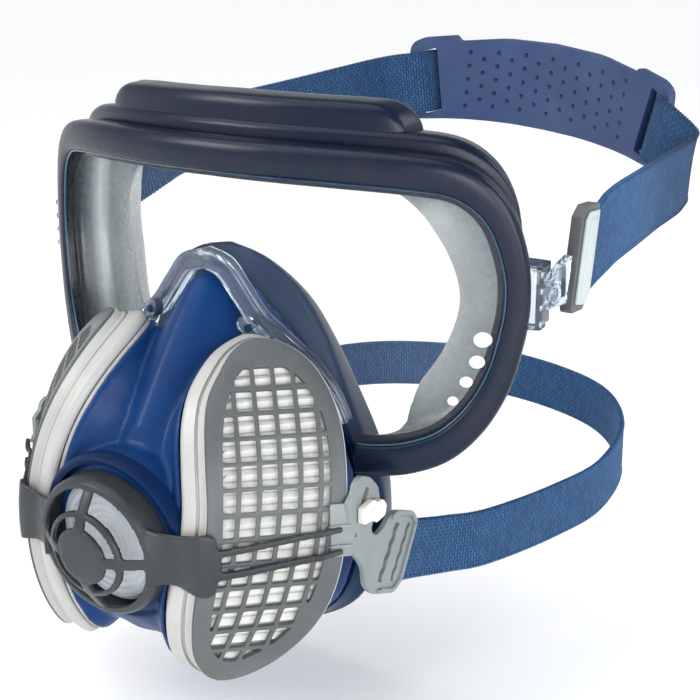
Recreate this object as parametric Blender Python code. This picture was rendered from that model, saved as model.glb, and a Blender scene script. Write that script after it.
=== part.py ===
"""Full-face respirator: goggles joined to a half mask that carries two pleated filters.

Lengths are in millimetres and become metres when a mesh is made.  X runs to the wearer's left,
Y runs back into the wearer's head and Z up.  Shapes are drawn from the lens datum, and the
part's origin lies FACE_DEPTH behind it, on the midline of the plane where the seals meet the face.
"""
import math

import bmesh
import bpy
import numpy as np
from mathutils import Vector, geometry

MM = 0.001
FACE_DEPTH = 40.0
GAP = 0.3
SIDES = (("left", 1.0), ("right", -1.0))

# Lens: part of an upright cylinder.
LENS_RADIUS = 160.0
LENS_FRONT = -10.2
LENS_THICKNESS = 2.2
LENS_EDGE = ((0, 40.2), (40, 39.7), (66, 38.5), (79, 36), (87.5, 28), (92, 15), (93, 3), (91.5, -9),
             (88.5, -21), (83, -32), (75.5, -40), (66, -44.3), (57, -45.8), (51.4, -45.9))
NOTCH_STEPS = 22
NOTCH_EDGE = ((51.4, -45.9), (48.6, -37.5), (44.5, -28), (38, -19.5), (30, -13), (21, -6.3),
              (14.5, 1.5), (8, 8.8), (0, 11.4))
SKIRT_OPENING = ((0, 12, 38), (28, 14, 37.5), (48, 17.5, 33.5), (60, 20.5, 25), (68, 25, 10),
                 (69, 28, -3), (65, 26, -17), (57, 23, -31), (53.5, 22, -42), (53, 22, -47))

# Brow vent: a base on the frame's outer wall, and a lid with rounded ends.
FRAME_WALL = 5.4
VENT_LOWEST = 20.0
VENT_TAPER = 6.0
VENT_HEIGHT = 4.6
LID_REACH = 58.5
LID_ROUNDING = 10.0

# Half mask rings, from the rear edge forward: half of each, from the nose to the chin.
MASK_REAR = ((0, 2.6, 12.6), (13, 2.2, 9.8), (26, 4, 0.5), (34, 7, -14), (39.5, 10, -30), (43.5, 13, -44),
             (47.5, 16, -58), (49.5, 16.5, -70), (48.5, 17, -86), (39, 17, -104), (21, 17, -115),
             (0, 17, -118))
MASK_MIDDLE = ((0, -8.6, 5.6), (4.5, -8, 3.8), (10, -7.5, -2.5), (17, -6.5, -11), (25, -5.5, -18),
               (33, -4.5, -26), (39.5, -3.5, -38), (43.5, -3, -54), (44, -3, -72), (37.5, -5, -98),
               (20, -8, -110), (0, -10, -113))
MASK_CHEEK = ((0, -14.5, 3.4), (4, -15, 1), (9, -15.5, -6), (15, -16.5, -14.5), (21.5, -17.5, -23),
              (27, -18.5, -35), (30, -20, -50), (30, -22, -66), (28, -25, -84), (20, -28, -99),
              (9, -31, -106), (0, -32, -107))
MASK_RIDGE = ((0, -27, -12), (4, -27.5, -15), (8, -29, -21), (11, -31, -29), (14, -33, -38),
              (17, -36, -48), (19, -39, -60), (19, -41, -72), (17, -43, -84), (12, -44.5, -94),
              (6, -45.5, -100), (0, -46, -101))
MASK_NOSE = ((0, -43, -36), (3, -43.5, -39), (6, -44.5, -44), (8.5, -46, -50), (10, -47.5, -56),
             (11, -49, -63), (11, -50, -70), (10.5, -50.5, -77), (9, -50.5, -84), (6, -50, -90),
             (3, -49.5, -94), (0, -49, -95))
MASK_WALL = 2.6
MASK_STEPS = 19
SEAL_SHARE = 0.5
SEAL_WALL = 2.4
SEAL_LIP = ((0, 14, -3), (9, 14.5, -7), (17, 16, -15), (24, 19, -27), (30, 23, -40), (34, 26.5, -52),
               (36, 28, -66), (34, 29, -82), (27, 29, -95), (15, 28, -103), (0, 27.5, -106))

# Filter: a plate bent around a level axis, bulging outwards.
FILTER_WIDTH_AXIS = (0.677, 0.736, 0.0)
FILTER_TOP = (28.8, -22.3, -8.4)
FILTER_LEAN = 19.3
FILTER_DROP = 99.0
FILTER_SAG = 18.0
GRILLE_EDGE = ((2.5, 54.3), (9.5, 51.5), (15.5, 45.4), (19.5, 37.2), (22, 27), (22.7, 16), (22.2, 2),
               (20.8, -13), (17.5, -26.5), (11.5, -38), (2, -49), (-7, -55.3), (-14, -56.8),
               (-19, -53), (-22.2, -44.5), (-22.8, -34), (-21.6, -22), (-19, -10), (-17.5, 2),
               (-17.2, 16), (-16.5, 28), (-14.8, 36), (-11, 43.3), (-7, 49.8), (-2.5, 53.6))
GRILLE_WINDOW = ((-0.5, 46.4), (6, 45.3), (12, 40.4), (16, 33), (18.2, 24), (18.4, 10), (17.2, -3),
                 (15, -15.5), (11.3, -27), (5, -37.4), (-3, -44.6), (-11, -48), (-16, -45),
                 (-18, -37.5), (-16.8, -26), (-14.7, -15), (-13.6, -4), (-12.8, 10), (-12, 23),
                 (-10.4, 32), (-6.3, 42))
RIM_BASE = ((0.5, 61.5), (9.5, 56), (16.3, 48), (20.4, 38), (22.6, 27), (23.3, 16), (22.8, 2),
            (21.5, -13), (18.4, -27), (12.8, -40), (3, -52.5), (-7, -60.5), (-17, -63),
            (-25, -58), (-29, -47), (-29.8, -34), (-28.4, -22), (-25.8, -11), (-24.2, 2),
            (-23.8, 16), (-23, 29), (-20.6, 39.5), (-16.5, 48), (-11.5, 55), (-5, 60))
GRILLE_COLUMN_PITCH = 5.95
GRILLE_ROW_PITCH = 7.3
GRILLE_BAR = 1.35
GRILLE_THICKNESS = 1.4
GRILLE_COLUMNS = 6
GRILLE_ROWS = 13
GRILLE_FIRST_COLUMN = -13.4
GRILLE_FIRST_ROW = 41.4
RIM_DEPTH = 9.0
BASE_THICKNESS = 2.3
SEAT_DEPTH = 13.9
SEAT_REACH = 27.0
SEAT_LIP = 10.0
PORT_RADIUS = 13.0
PORT_CENTRE = (-1.0, 0.0)

# Exhalation valve.
VALVE_CENTRE = (0.0, -62.4, -68.8)
VALVE_TILT = math.radians(5)
VALVE_FACE_RADIUS = 19.7
VALVE_SKIRT_RADIUS = 21.6
VALVE_DISC_RADIUS = 8.0
VALVE_DOME = 6.4

# Yoke arm: a band that splits into two ribs over the grille.
ARM_EDGE = ((-33.5, -18.5), (-30, -19.3), (-26.5, -20.3), (-21.5, -21.6), (-18.5, -22), (-16.2, -20.5),
            (-15.6, -17), (-6, -16), (4, -14.6), (13, -13.4), (20.6, -11.0), (20.4, -9.6), (13, -11.4),
            (4, -12.6), (-6, -13.9), (-14.4, -14.6), (-14.4, -10.0), (-6, -9.0), (4, -7.6), (13, -6.4),
            (20.6, -4.8), (20.4, -3.4), (13, -4.6), (4, -5.8), (-6, -7.0), (-15.4, -8.0), (-15.8, -4.5),
            (-18, -3.2), (-21.5, -3.4), (-26.5, -4.0), (-30, -4.8), (-33.5, -5.5))

# Straps: points of the middle of each strap.
HEAD_STRAP_WIDTH = 25.0
NECK_STRAP_WIDTH = 19.0
STRAP_THICKNESS = 1.6
HEAD_STRAP_LEFT = ((97.3, 55.4, 12), (96.2, 64, 14.4), (93.5, 80, 16.6), (88, 108, 17), (81.5, 138, 17),
                   (79.5, 163, 19.5), (76.5, 176, 22.6))
HEAD_STRAP_RIGHT = ((-97.3, 56.2, 15.4), (-96.2, 64, 20), (-93.5, 80, 27.5), (-88, 108, 31.5),
                    (-81.5, 138, 35), (-72.5, 163, 39), (-66.5, 177, 41.4))
HEAD_STRAP_THREADING = ((65, -2.6), (61, -2.9), (57, -2.9), (54.2, -1.6), (51.2, 1.4), (48.6, 2.9), (45, 3.1))
NECK_STRAP = ((61.1, -2, -76.2), (60.6, 8, -78.7), (61, 17, -81), (64.5, 30, -83.2), (70, 46, -84.8),
              (75.5, 80, -86), (77, 114, -86), (68, 148, -82), (44, 171, -77), (0, 179, -74), (-44, 171, -75),
              (-68, 148, -76), (-77, 114, -79), (-75.5, 80, -82), (-70, 46, -83), (-64.5, 30, -82.4),
              (-61, 17, -80.8), (-60.6, 8, -78.7), (-61.1, -2, -76.2))
PLATE_CENTRE = (5.0, 198.5, 44.5)
PLATE_ROLL = math.radians(6.1)
PLATE_RADIUS = 125.0
PLATE_DROP = 5.8
PLATE_THICKNESS = 3.0
PLATE_SLOT = 52.6
PLATE_HALF = ((0, 17.6), (22, 17.4), (41, 16.2), (43, 18.2), (56, 18), (61, 14.5), (62.5, 9), (62.5, -10),
              (60, -14), (55, -15.5), (40, -16.4), (20, -17.2), (0, -17.5))

# Strap brackets: flat plates behind the filters, drawn in (distance back, height).
BRACKET_CORNER = (65.1, -24.2, 0.0)
BRACKET_ALONG = (-0.06, 0.998, 0.0)
BRACKET_HALF_THICKNESS = 0.85
BRACKET_EDGE = ((-1.6, -50.6), (1.2, -49), (1.5, -46.5), (4.5, -44.6), (9.5, -46.2), (14.5, -51), (15.5, -57),
                (12, -60), (10.2, -63.5), (13, -66.2), (17, -65.5), (21, -62.8), (25, -62.1), (34, -65.4),
                (37.4, -69.5), (27.6, -86), (22.5, -88.3), (11, -84.3), (7.2, -80), (6.6, -74.5), (4, -70.8),
                (1.2, -68), (-1.6, -65))
BRACKET_SLOTS = (((24.8, -65.6), (26.8, -66.9), (16.1, -82.4), (14.1, -81.1)),
                 ((32.0, -68.2), (33.4, -69.2), (22.8, -84.6), (21.4, -83.6)))
PIN_SLOT = ((7.6, -48.6), (9.4, -49.8), (7.6, -53), (7.2, -56), (8.6, -60), (6.8, -61), (4.6, -57),
            (5, -52.4))
PIN_PLACE = (6.1, -56.5)
PIN_HEAD = ((2.6, -53.6), (8.4, -52.4), (9.6, -53.8), (13.4, -54), (15.4, -56.4), (14.6, -59.4),
            (9.4, -60.2), (8.2, -58.8), (2.6, -58.6))
NECK_PIVOT = (63.0, 1.0, -76.8)

# Temple fittings.
TEMPLE_PIVOT = (97.5, 29.5, 4.5)
BLOCK_EDGE = ((97.6, 21.7), (99.6, 22.3), (99.6, 23.9), (96.2, 24.6), (96.2, 34), (90.8, 34), (93.6, 28.5))
BLOCK_HEIGHT = (-5.0, 13.5)
LINK_RADIUS = 4.5
LINK_DEPTHS = (96.55, 99.25)
BUCKLE_FRONT = 40.0
BUCKLE_LENGTH = 10.5
BUCKLE_HEIGHT = (-3.5, 28.0)
BUCKLE_LEAN = math.radians(11)
BUCKLE_DEPTHS = (94.6, 99.9)
INSERT_DEPTHS = (100.2, 101.4)

COLOURS = {
    "lens_clear": ((0.86, 0.89, 0.91), 0.05, 0.0),
    "navy_frame": ((0.020, 0.026, 0.070), 0.45, 0.0),
    "grey_skirt": ((0.40, 0.44, 0.45), 0.40, 0.0),
    "navy_body": ((0.016, 0.040, 0.160), 0.38, 0.0),
    "navy_soft": ((0.020, 0.050, 0.130), 0.42, 0.0),
    "clear_clip": ((0.62, 0.70, 0.76), 0.08, 0.0),
    "white_rim": ((0.66, 0.66, 0.64), 0.40, 0.0),
    "grey_grille": ((0.165, 0.175, 0.180), 0.42, 0.0),
    "filter_paper": ((0.62, 0.61, 0.57), 0.95, 0.0),
    "seal_rubber": ((0.05, 0.05, 0.06), 0.60, 0.0),
    "valve_silicone": ((0.60, 0.66, 0.70), 0.25, 0.0),
    "bracket_grey": ((0.33, 0.35, 0.35), 0.40, 0.0),
    "pin_white": ((0.78, 0.77, 0.72), 0.40, 0.0),
    "webbing_blue": ((0.030, 0.085, 0.270), 0.90, 0.0),
    "plate_navy": ((0.045, 0.070, 0.200), 0.55, 0.0),
    "buckle_dark": ((0.055, 0.058, 0.062), 0.40, 0.0),
    "buckle_pale": ((0.56, 0.60, 0.60), 0.35, 0.0),
}


# ---------------------------------------------------------------- mesh helpers
def clear_scene():
    for item in list(bpy.data.objects):
        bpy.data.objects.remove(item, do_unlink=True)


def material(name):
    found = bpy.data.materials.get(name)
    if found:
        return found
    made = bpy.data.materials.new(name)
    made.use_nodes = True
    shader = made.node_tree.nodes["Principled BSDF"]
    colour, roughness, metallic = COLOURS[name]
    shader.inputs["Base Color"].default_value = (*colour, 1.0)
    shader.inputs["Roughness"].default_value = roughness
    shader.inputs["Metallic"].default_value = metallic
    made.diffuse_color = (*colour, 1.0)
    return made


def make_object(name, vertices, faces, finish, pivot=None, sharp=35.0):
    """Make one closed object from datum millimetres; pivot is its origin on a joint's axis."""
    origin = Vector(pivot if pivot else (0.0, FACE_DEPTH, 0.0))
    mesh = bpy.data.meshes.new(name)
    mesh.from_pydata([(Vector(v) - origin) * MM for v in vertices], [], faces)
    tidy = bmesh.new()
    tidy.from_mesh(mesh)
    bmesh.ops.remove_doubles(tidy, verts=tidy.verts, dist=1e-6)
    bmesh.ops.recalc_face_normals(tidy, faces=tidy.faces)
    tidy.to_mesh(mesh)
    tidy.free()
    mesh.shade_smooth()
    mesh.set_sharp_from_angle(angle=math.radians(sharp))
    made = bpy.data.objects.new(name, mesh)
    made.location = (origin - Vector((0.0, FACE_DEPTH, 0.0))) * MM
    bpy.context.scene.collection.objects.link(made)
    made.data.materials.append(material(finish))
    return made


def smooth_path(points, count, closed=False):
    """Evenly spaced points on a Catmull-Rom curve through the given ones."""
    points = np.array(points, float)
    total = len(points)
    spans = total if closed else total - 1
    fine = []
    for span in range(spans):
        if closed:
            p0, p1, p2, p3 = (points[(span + k) % total] for k in (-1, 0, 1, 2))
        else:
            p1, p2 = points[span], points[span + 1]
            p0 = points[span - 1] if span else 2 * p1 - p2
            p3 = points[span + 2] if span + 2 < total else 2 * p2 - p1
        for t in np.arange(0, 1, 1 / 24):
            fine.append(0.5 * (2 * p1 + (p2 - p0) * t + (2 * p0 - 5 * p1 + 4 * p2 - p3) * t ** 2
                               + (3 * p1 - p0 - 3 * p2 + p3) * t ** 3))
    fine.append(points[0] if closed else points[-1])
    fine = np.array(fine)
    reach = np.concatenate(([0], np.cumsum(np.linalg.norm(np.diff(fine, axis=0), axis=1))))
    stops = np.linspace(0, reach[-1], count + 1 if closed else count)
    path = np.stack([np.interp(stops, reach, fine[:, k]) for k in range(fine.shape[1])], -1)
    return path[:-1] if closed else path


def mirrored(point):
    return (-point[0], *point[1:])


def full_ring(half, count):
    """Close a half ring that runs down from the midline at the top to the midline at the bottom."""
    side = smooth_path(half, count)
    side[0][0] = 0.0
    side[-1][0] = 0.0
    other = [mirrored(p) for p in side[-2:0:-1]]
    return np.array(list(map(tuple, side)) + other)


def loft_data(rings, wrap=False):
    size = len(rings[0])
    vertices = [tuple(p) for ring in rings for p in ring]
    faces = []
    last = len(rings) if wrap else len(rings) - 1
    for k in range(last):
        start, following = k * size, ((k + 1) % len(rings)) * size
        for i in range(size):
            j = (i + 1) % size
            faces.append((start + i, start + j, following + j, following + i))
    if not wrap:
        for start, ring in ((0, rings[0]), (last * size, rings[-1])):
            vertices.append(tuple(np.mean([tuple(p) for p in ring], axis=0)))
            centre = len(vertices) - 1
            faces += [(start + i, start + (i + 1) % size, centre) for i in range(size)]
    return vertices, faces


def loft(name, rings, finish, wrap=False, **options):
    vertices, faces = loft_data(rings, wrap)
    return make_object(name, vertices, faces, finish, **options)


def inside(outline, point):
    """True where a flat point lies inside a closed outline."""
    x, y = point
    found = False
    for (x0, y0), (x1, y1) in zip(outline, np.roll(outline, -1, axis=0)):
        if (y0 > y) != (y1 > y) and x < (x1 - x0) * (y - y0) / (y1 - y0) + x0:
            found = not found
    return found


def on_sheet(loops, point):
    """True inside the first outline and outside the others, which are holes."""
    return inside(loops[0], point) and not any(inside(hole, point) for hole in loops[1:])


def plate(name, outline, place, low, high, finish, holes=(), spacing=0.0, **options):
    """A sheet cut to a flat outline with holes, then bent by place(u, v, height)."""
    loops = [np.array(outline, float)] + [np.array(h, float) for h in holes]
    flat, edges = [], []
    for ring in loops:
        start = len(flat)
        flat += [Vector(p) for p in ring]
        edges += [(start + i, start + (i + 1) % len(ring)) for i in range(len(ring))]
    if spacing:
        lowest, highest = loops[0].min(0), loops[0].max(0)
        for u in np.arange(lowest[0] + spacing / 2, highest[0], spacing):
            for v in np.arange(lowest[1] + spacing / 2, highest[1], spacing):
                near = min(np.linalg.norm(r - (u, v), axis=1).min() for r in loops)
                if near > spacing * 0.4 and inside(loops[0], (u, v)):
                    flat.append(Vector((u, v)))
    points, _, triangles, *_ = geometry.delaunay_2d_cdt(flat, edges, [], 0, 1e-5)
    triangles = [t for t in triangles if on_sheet(loops, sum((points[k] for k in t), Vector((0, 0))) / 3)]
    count = len(points)
    vertices = [place(p.x, p.y, high) for p in points] + [place(p.x, p.y, low) for p in points]
    faces = [tuple(t) for t in triangles] + [tuple(count + k for k in reversed(t)) for t in triangles]
    used = {}
    for t in triangles:
        for a, b in zip(t, (*t[1:], t[0])):
            used[(a, b)] = True
    for a, b in used:
        if (b, a) not in used:
            faces.append((b, a, a + count, b + count))
    return make_object(name, vertices, faces, finish, **options)


def circle(radius, count, centre=(0.0, 0.0), start=0.0):
    turns = start + np.arange(count) * 2 * math.pi / count
    return [(centre[0] + radius * math.cos(t), centre[1] + radius * math.sin(t)) for t in turns]


def rounded(x0, x1, y0, y1, radius, steps=3):
    corners = ((x1 - radius, y1 - radius, 0), (x0 + radius, y1 - radius, 90),
               (x0 + radius, y0 + radius, 180), (x1 - radius, y0 + radius, 270))
    points = []
    for cx, cy, turn in corners:
        for k in range(steps + 1):
            angle = math.radians(turn + 90 * k / steps)
            points.append((cx + radius * math.cos(angle), cy + radius * math.sin(angle)))
    return points


def offset(outline, distance):
    """Move a closed counter-clockwise or clockwise outline outwards by a distance."""
    outline = np.array(outline, float)
    ahead = np.roll(outline, -1, axis=0)
    behind = np.roll(outline, 1, axis=0)
    along = ahead - behind
    along /= np.linalg.norm(along, axis=1)[:, None]
    area = np.sum(outline[:, 0] * ahead[:, 1] - ahead[:, 0] * outline[:, 1])
    outward = np.stack([along[:, 1], -along[:, 0]], -1) * (1 if area > 0 else -1)
    return outline + outward * distance


def turned(name, profile, centre, axis, finish, count=32, wrap=False, **options):
    """A turned piece: profile holds (distance along the axis, radius)."""
    centre, axis = Vector(centre), Vector(axis).normalized()
    across = axis.orthogonal().normalized()
    upward = axis.cross(across)
    rings = []
    for along, radius in profile:
        rings.append([centre + axis * along + (across * x + upward * y) for x, y in circle(radius, count)])
    return loft(name, rings, finish, wrap=wrap, **options)


def boolean(target, cutter, operation="DIFFERENCE", solver="EXACT"):
    change = target.modifiers.new(cutter.name, "BOOLEAN")
    change.object = cutter
    change.operation = operation
    change.solver = solver
    cutter.hide_render = True
    cutter.display_type = "WIRE"


# ---------------------------------------------------------------- frames of reference
def lens_y(x):
    return LENS_FRONT + LENS_RADIUS - math.sqrt(LENS_RADIUS ** 2 - x ** 2)


def on_lens(x, z, depth):
    """A point behind the lens's front face, along the lens's own radius."""
    inner = (LENS_RADIUS - depth) / LENS_RADIUS
    centre = LENS_FRONT + LENS_RADIUS
    return (x * inner, centre + (lens_y(x) - centre) * inner, z)


class FilterFrame:
    """Where a filter lies: w runs back across it, a runs up along its bend, h stands proud."""

    def __init__(self, side):
        self.side = side
        self.width = Vector(FILTER_WIDTH_AXIS).normalized()
        level = Vector((self.width.y, -self.width.x, 0.0))
        top = Vector(FILTER_TOP)
        bottom = top + level * FILTER_LEAN - Vector((0, 0, FILTER_DROP))
        chord = top - bottom
        self.up = chord.normalized()
        self.out = (level - self.up * level.dot(self.up)).normalized()
        self.radius = ((chord.length / 2) ** 2 + FILTER_SAG ** 2) / (2 * FILTER_SAG)
        self.centre = (top + bottom) / 2 + self.out * (FILTER_SAG - self.radius)

    def place(self, w, a, h):
        angle = a / self.radius
        radial = self.out * math.cos(angle) + self.up * math.sin(angle)
        point = self.centre + radial * (self.radius + h) + self.width * w
        return (point.x * self.side, point.y, point.z)

    def normal(self, a):
        angle = a / self.radius
        radial = self.out * math.cos(angle) + self.up * math.sin(angle)
        return Vector((radial.x * self.side, radial.y, radial.z))


def valve_axis():
    return Vector((0.0, -math.cos(VALVE_TILT), -math.sin(VALVE_TILT)))


def valve_place(x, y, height):
    """A point on a plane across the valve's axis, height ahead of its face ring."""
    axis = valve_axis()
    upward = Vector((0.0, -math.sin(VALVE_TILT), math.cos(VALVE_TILT)))
    point = Vector(VALVE_CENTRE) + axis * height + Vector((x, 0, 0)) + upward * y
    return tuple(point)


# ---------------------------------------------------------------- goggles
def lens_outline(steps=1.0):
    half = list(smooth_path(LENS_EDGE, int(34 * steps))) + list(smooth_path(NOTCH_EDGE, NOTCH_STEPS))[1:]
    half = [tuple(p) for p in half]
    half[0] = (0.0, half[0][1])
    half[-1] = (0.0, half[-1][1])
    return half + [mirrored(p) for p in half[-2:0:-1]]


def build_lens():
    return plate("lens", lens_outline(0.7), on_lens, LENS_THICKNESS, 0.0, "lens_clear", spacing=11.0)


def frame_stations(count):
    """(point on the lens edge, outward, backward) from the left foot over the brow to the right."""
    half = smooth_path(LENS_EDGE, count)
    half[0][0] = 0.0
    route = [mirrored(p) for p in half[:0:-1]] + [tuple(p) for p in half]
    points = [Vector(on_lens(x, z, 0.0)) for x, z in route]
    stations = []
    for k, point in enumerate(points):
        ahead = points[min(k + 1, len(points) - 1)]
        behind = points[max(k - 1, 0)]
        along = (ahead - behind).normalized()
        back = Vector((-point.x, LENS_FRONT + LENS_RADIUS - point.y, 0.0)).normalized()
        out = back.cross(along).normalized()
        if out.dot(Vector((point.x, 0, point.z + 8))) < 0:
            out = -out
        stations.append((point, out, back))
    return stations


def rim_share(out):
    """The rim is widest over the brow and slimmest at the temples."""
    return 0.62 + 0.38 * abs(out.z) ** 1.5


def build_goggle_frame():
    lip = ((-3.0, -0.3), (-3.0, -1.3), (-1.6, -2.1), (4.2, -2.6), (7.0, -0.8), (7.2, 6.2), (5.4, 7.6))
    body = ((FRAME_WALL, 19.0), (3.6, 20.5), (1.2, 20.5), (1.2, 4.6), (-2.6, 4.4), (-2.6, 2.5), (0.3, 2.5),
            (0.3, -0.3))
    rings = []
    for point, out, back in frame_stations(30):
        share = rim_share(out)
        ring = [(n * share if n > 2 else n, b) for n, b in lip + body]
        rings.append([point + out * n + back * b for n, b in ring])
    return loft("goggle_frame", rings, "navy_frame", sharp=30.0)


def build_goggle_skirt():
    count = 26
    opening = smooth_path(SKIRT_OPENING, count)
    opening[0][0] = 0.0
    route = [Vector(mirrored(p)) for p in opening[:0:-1]] + [Vector(p) for p in opening]
    back_step = Vector((0, 1.6, 0))
    rings = []
    for (point, out, back), lip in zip(frame_stations(count), route):
        outer = [point + out * n + back * b for n, b in ((0.9, 4.9), (0.9, 20.9), (3.4, 20.9), (3.2, 24.0))]
        inner = [point + out * n + back * b for n, b in ((-0.7, 15.0), (-0.7, 4.9))]
        crest = (outer[3] + lip) / 2 + Vector((0, 6.5, 0))
        fold = (inner[0] + lip) / 2 + Vector((0, 2.2, 0))
        rings.append(outer + [crest, lip + back_step, lip, fold] + inner)
    return loft("goggle_skirt", rings, "grey_skirt")


def build_brow_vents():
    """A base that follows the frame over the brow and dies away at both ends, and a lid on top."""
    stations = [k for k in frame_stations(30) if k[0].z > VENT_LOWEST]
    rings = []
    for k, (point, out, back) in enumerate(stations):
        share = 0.08 + 0.92 * math.sin(min(1.0, min(k, len(stations) - 1 - k) / VENT_TAPER) * math.pi / 2)
        low = FRAME_WALL * rim_share(out) + GAP
        section = ((low, 8.2), (low + 3.4 * share, 8.2), (low + VENT_HEIGHT * share, 9.4),
                   (low + VENT_HEIGHT * share, 18.6), (low + 3.4 * share, 19.6), (low, 19.6))
        rings.append([point + out * n + back * b for n, b in section])
    base = loft("brow_vent_housing", rings, "navy_frame", sharp=30.0)
    section = ((9.6, 0.0), (9.8, 6.2), (11.4, 8.4), (20.5, 9.2), (22.6, 7.6), (23.0, 0.0))
    ends = [(LID_REACH - LID_ROUNDING * (1 - math.sin(t)), math.cos(t)) for t in np.linspace(0, 1.47, 5)]
    stops = [(-x, share) for x, share in ends[::-1]] + [(x, 1.0) for x in np.linspace(-32, 32, 5)] + ends
    floor = FRAME_WALL + GAP + VENT_HEIGHT + GAP + 0.1
    rings = []
    for x, share in stops:
        top = np.interp(abs(x), [p[0] for p in LENS_EDGE[:6]], [p[1] for p in LENS_EDGE[:6]]) + floor
        rings.append([(x, lens_y(x) + y, top + z * share) for y, z in section])
    lid = loft("brow_vent_cover", rings, "navy_frame", sharp=30.0)
    return base, lid


def notch_sweep(name, section, finish, stride=1, **options):
    """Sweep a section along the lens's nose notch; the first axis points away from the glass."""
    route = smooth_path(NOTCH_EDGE, NOTCH_STEPS)[3::stride]
    path = [tuple(p) for p in route[:-1]] + [(0.0, route[-1][1])] + [mirrored(p) for p in route[-2::-1]]
    rings = []
    for k, (x, z) in enumerate(path):
        before, after = path[max(k - 1, 0)], path[min(k + 1, len(path) - 1)]
        along = Vector((after[0] - before[0], 0, after[1] - before[1])).normalized()
        inward = Vector((-along.z, 0, along.x))
        point = Vector(on_lens(x, z, 0.0))
        back = Vector((-point.x, LENS_FRONT + LENS_RADIUS - point.y, 0.0)).normalized()
        share = np.interp(abs(x), (20, 34), (1.0, 0.5))
        rings.append([point + inward * (n * share if n > 1 else n) + back * b for n, b in section])
    return loft(name, rings, finish, sharp=30.0, **options)


def build_nose_clip():
    section = ((-1.6, -0.5), (-1.6, -1.9), (1.5, -3.0), (4.4, -2.4), (5.0, 0.0), (4.4, 3.6),
               (-1.4, 3.6), (-1.4, 2.8), (0.5, 2.8), (0.5, -0.5))
    return notch_sweep("nose_clip", section, "clear_clip")


def build_clip_studs():
    """Two studs press the clip's feet onto the mask."""
    made = []
    for side, sign in SIDES:
        foot = Vector(on_lens(19.4 * sign, -8.9, 0.0)) + Vector((0, -3.75, 0))
        axis = Vector((0.35 * sign, -1.0, 0.12))
        profile = ((0.0, 1.6), (0.3, 2.3), (1.3, 2.3), (1.9, 1.5))
        made.append(turned(f"clip_stud_{side}", profile, foot, axis, "seal_rubber", count=16))
    return made


# ---------------------------------------------------------------- half mask
def shifted(ring, distance, back=0.0):
    """A ring moved outwards in its own outline and backwards along Y."""
    flat = offset(ring[:, [0, 2]], distance)
    return np.stack([flat[:, 0], ring[:, 1] + back, flat[:, 1]], -1)


def mask_rings(count):
    rings = [full_ring(r, count) for r in (MASK_NOSE, MASK_RIDGE, MASK_CHEEK, MASK_MIDDLE)]
    rear = full_ring(MASK_REAR, count)
    rings.append(rings[-1] + (rear - rings[-1]) * SEAL_SHARE)
    return rings, rear


def seat_form(side, frame):
    """A solid bowl under a filter: its base outline, narrowing inwards and leaning to the nose."""
    def place(w, a, h):
        share = (h + SEAT_REACH) / (SEAT_REACH - SEAT_LIP)
        low = (w * 0.86 - 9.0, a * 0.84)
        return frame.place(low[0] + (w - low[0]) * share, low[1] + (a - low[1]) * share, h)
    outline = offset(smooth_path(RIM_BASE, 30, closed=True), 1.9)
    return plate(f"seat_form_{side}", outline, place, -SEAT_REACH, -SEAT_LIP, "navy_body", spacing=13.0)


def build_half_mask():
    rings, _ = mask_rings(MASK_STEPS)
    body = loft("half_mask_shell", rings, "navy_body", sharp=50.0)
    for side, sign in SIDES:
        frame = FilterFrame(sign)
        boolean(body, seat_form(side, frame), "UNION")
        post = turned(f"post_form_{side}", ((0, 4.2), (16, 3.0), (20.2, 2.6)),
                      (42.0 * sign, -11.5, -58.0), (sign, -0.06, 0.03), "navy_body", count=10)
        boolean(body, post, "UNION")
    collar = ((-29, 16), (-23, 23.4), (-16, 26.2), (-11.6, 25.6), (-9.6, 23.6), (-8.7, 20.4))
    boolean(body, turned("collar_form", collar, VALVE_CENTRE, valve_axis(), "navy_body", count=28), "UNION")
    hollow = [shifted(rings[0], -MASK_WALL - 1.0, MASK_WALL), shifted(rings[1], -MASK_WALL, 1.6)]
    hollow += [shifted(r, -MASK_WALL) for r in rings[2:]]
    hollow.append(shifted(rings[-1], -MASK_WALL, 12.0))
    boolean(body, loft("cavity_form", hollow, "navy_body"))
    for side, sign in SIDES:
        frame = FilterFrame(sign)
        base = offset(smooth_path(RIM_BASE, 32, closed=True), 0.5)
        room = plate(f"filter_room_{side}", base, frame.place, -SEAT_DEPTH + 0.02, -SEAT_DEPTH + 12,
                     "navy_body", spacing=12.0)
        boolean(body, room)
        start = frame.place(*PORT_CENTRE, -SEAT_DEPTH + 4)
        port = ((0, PORT_RADIUS), (-26, PORT_RADIUS))
        boolean(body, turned(f"port_form_{side}", port, start, frame.normal(0.0), "navy_body",
                              count=24))
    room = ((6, VALVE_SKIRT_RADIUS + 0.4), (-8.4, VALVE_SKIRT_RADIUS + 0.4))
    boolean(body, turned("yoke_room", room, VALVE_CENTRE, valve_axis(), "navy_body", count=44))
    bore = ((4, 15.2), (-24, 15.2))
    bore_form = turned("valve_bore", bore, VALVE_CENTRE, valve_axis(), "navy_body", count=24)
    boolean(body, bore_form, solver="MANIFOLD")
    room = ((-2.2, -0.6), (-2.2, -2.6), (2, -4.2), (6, -3.4), (6.6, 4.6), (-2.2, 4.6))
    boolean(body, notch_sweep("clip_room", room, "navy_body", stride=3), solver="MANIFOLD")
    return body


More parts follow.
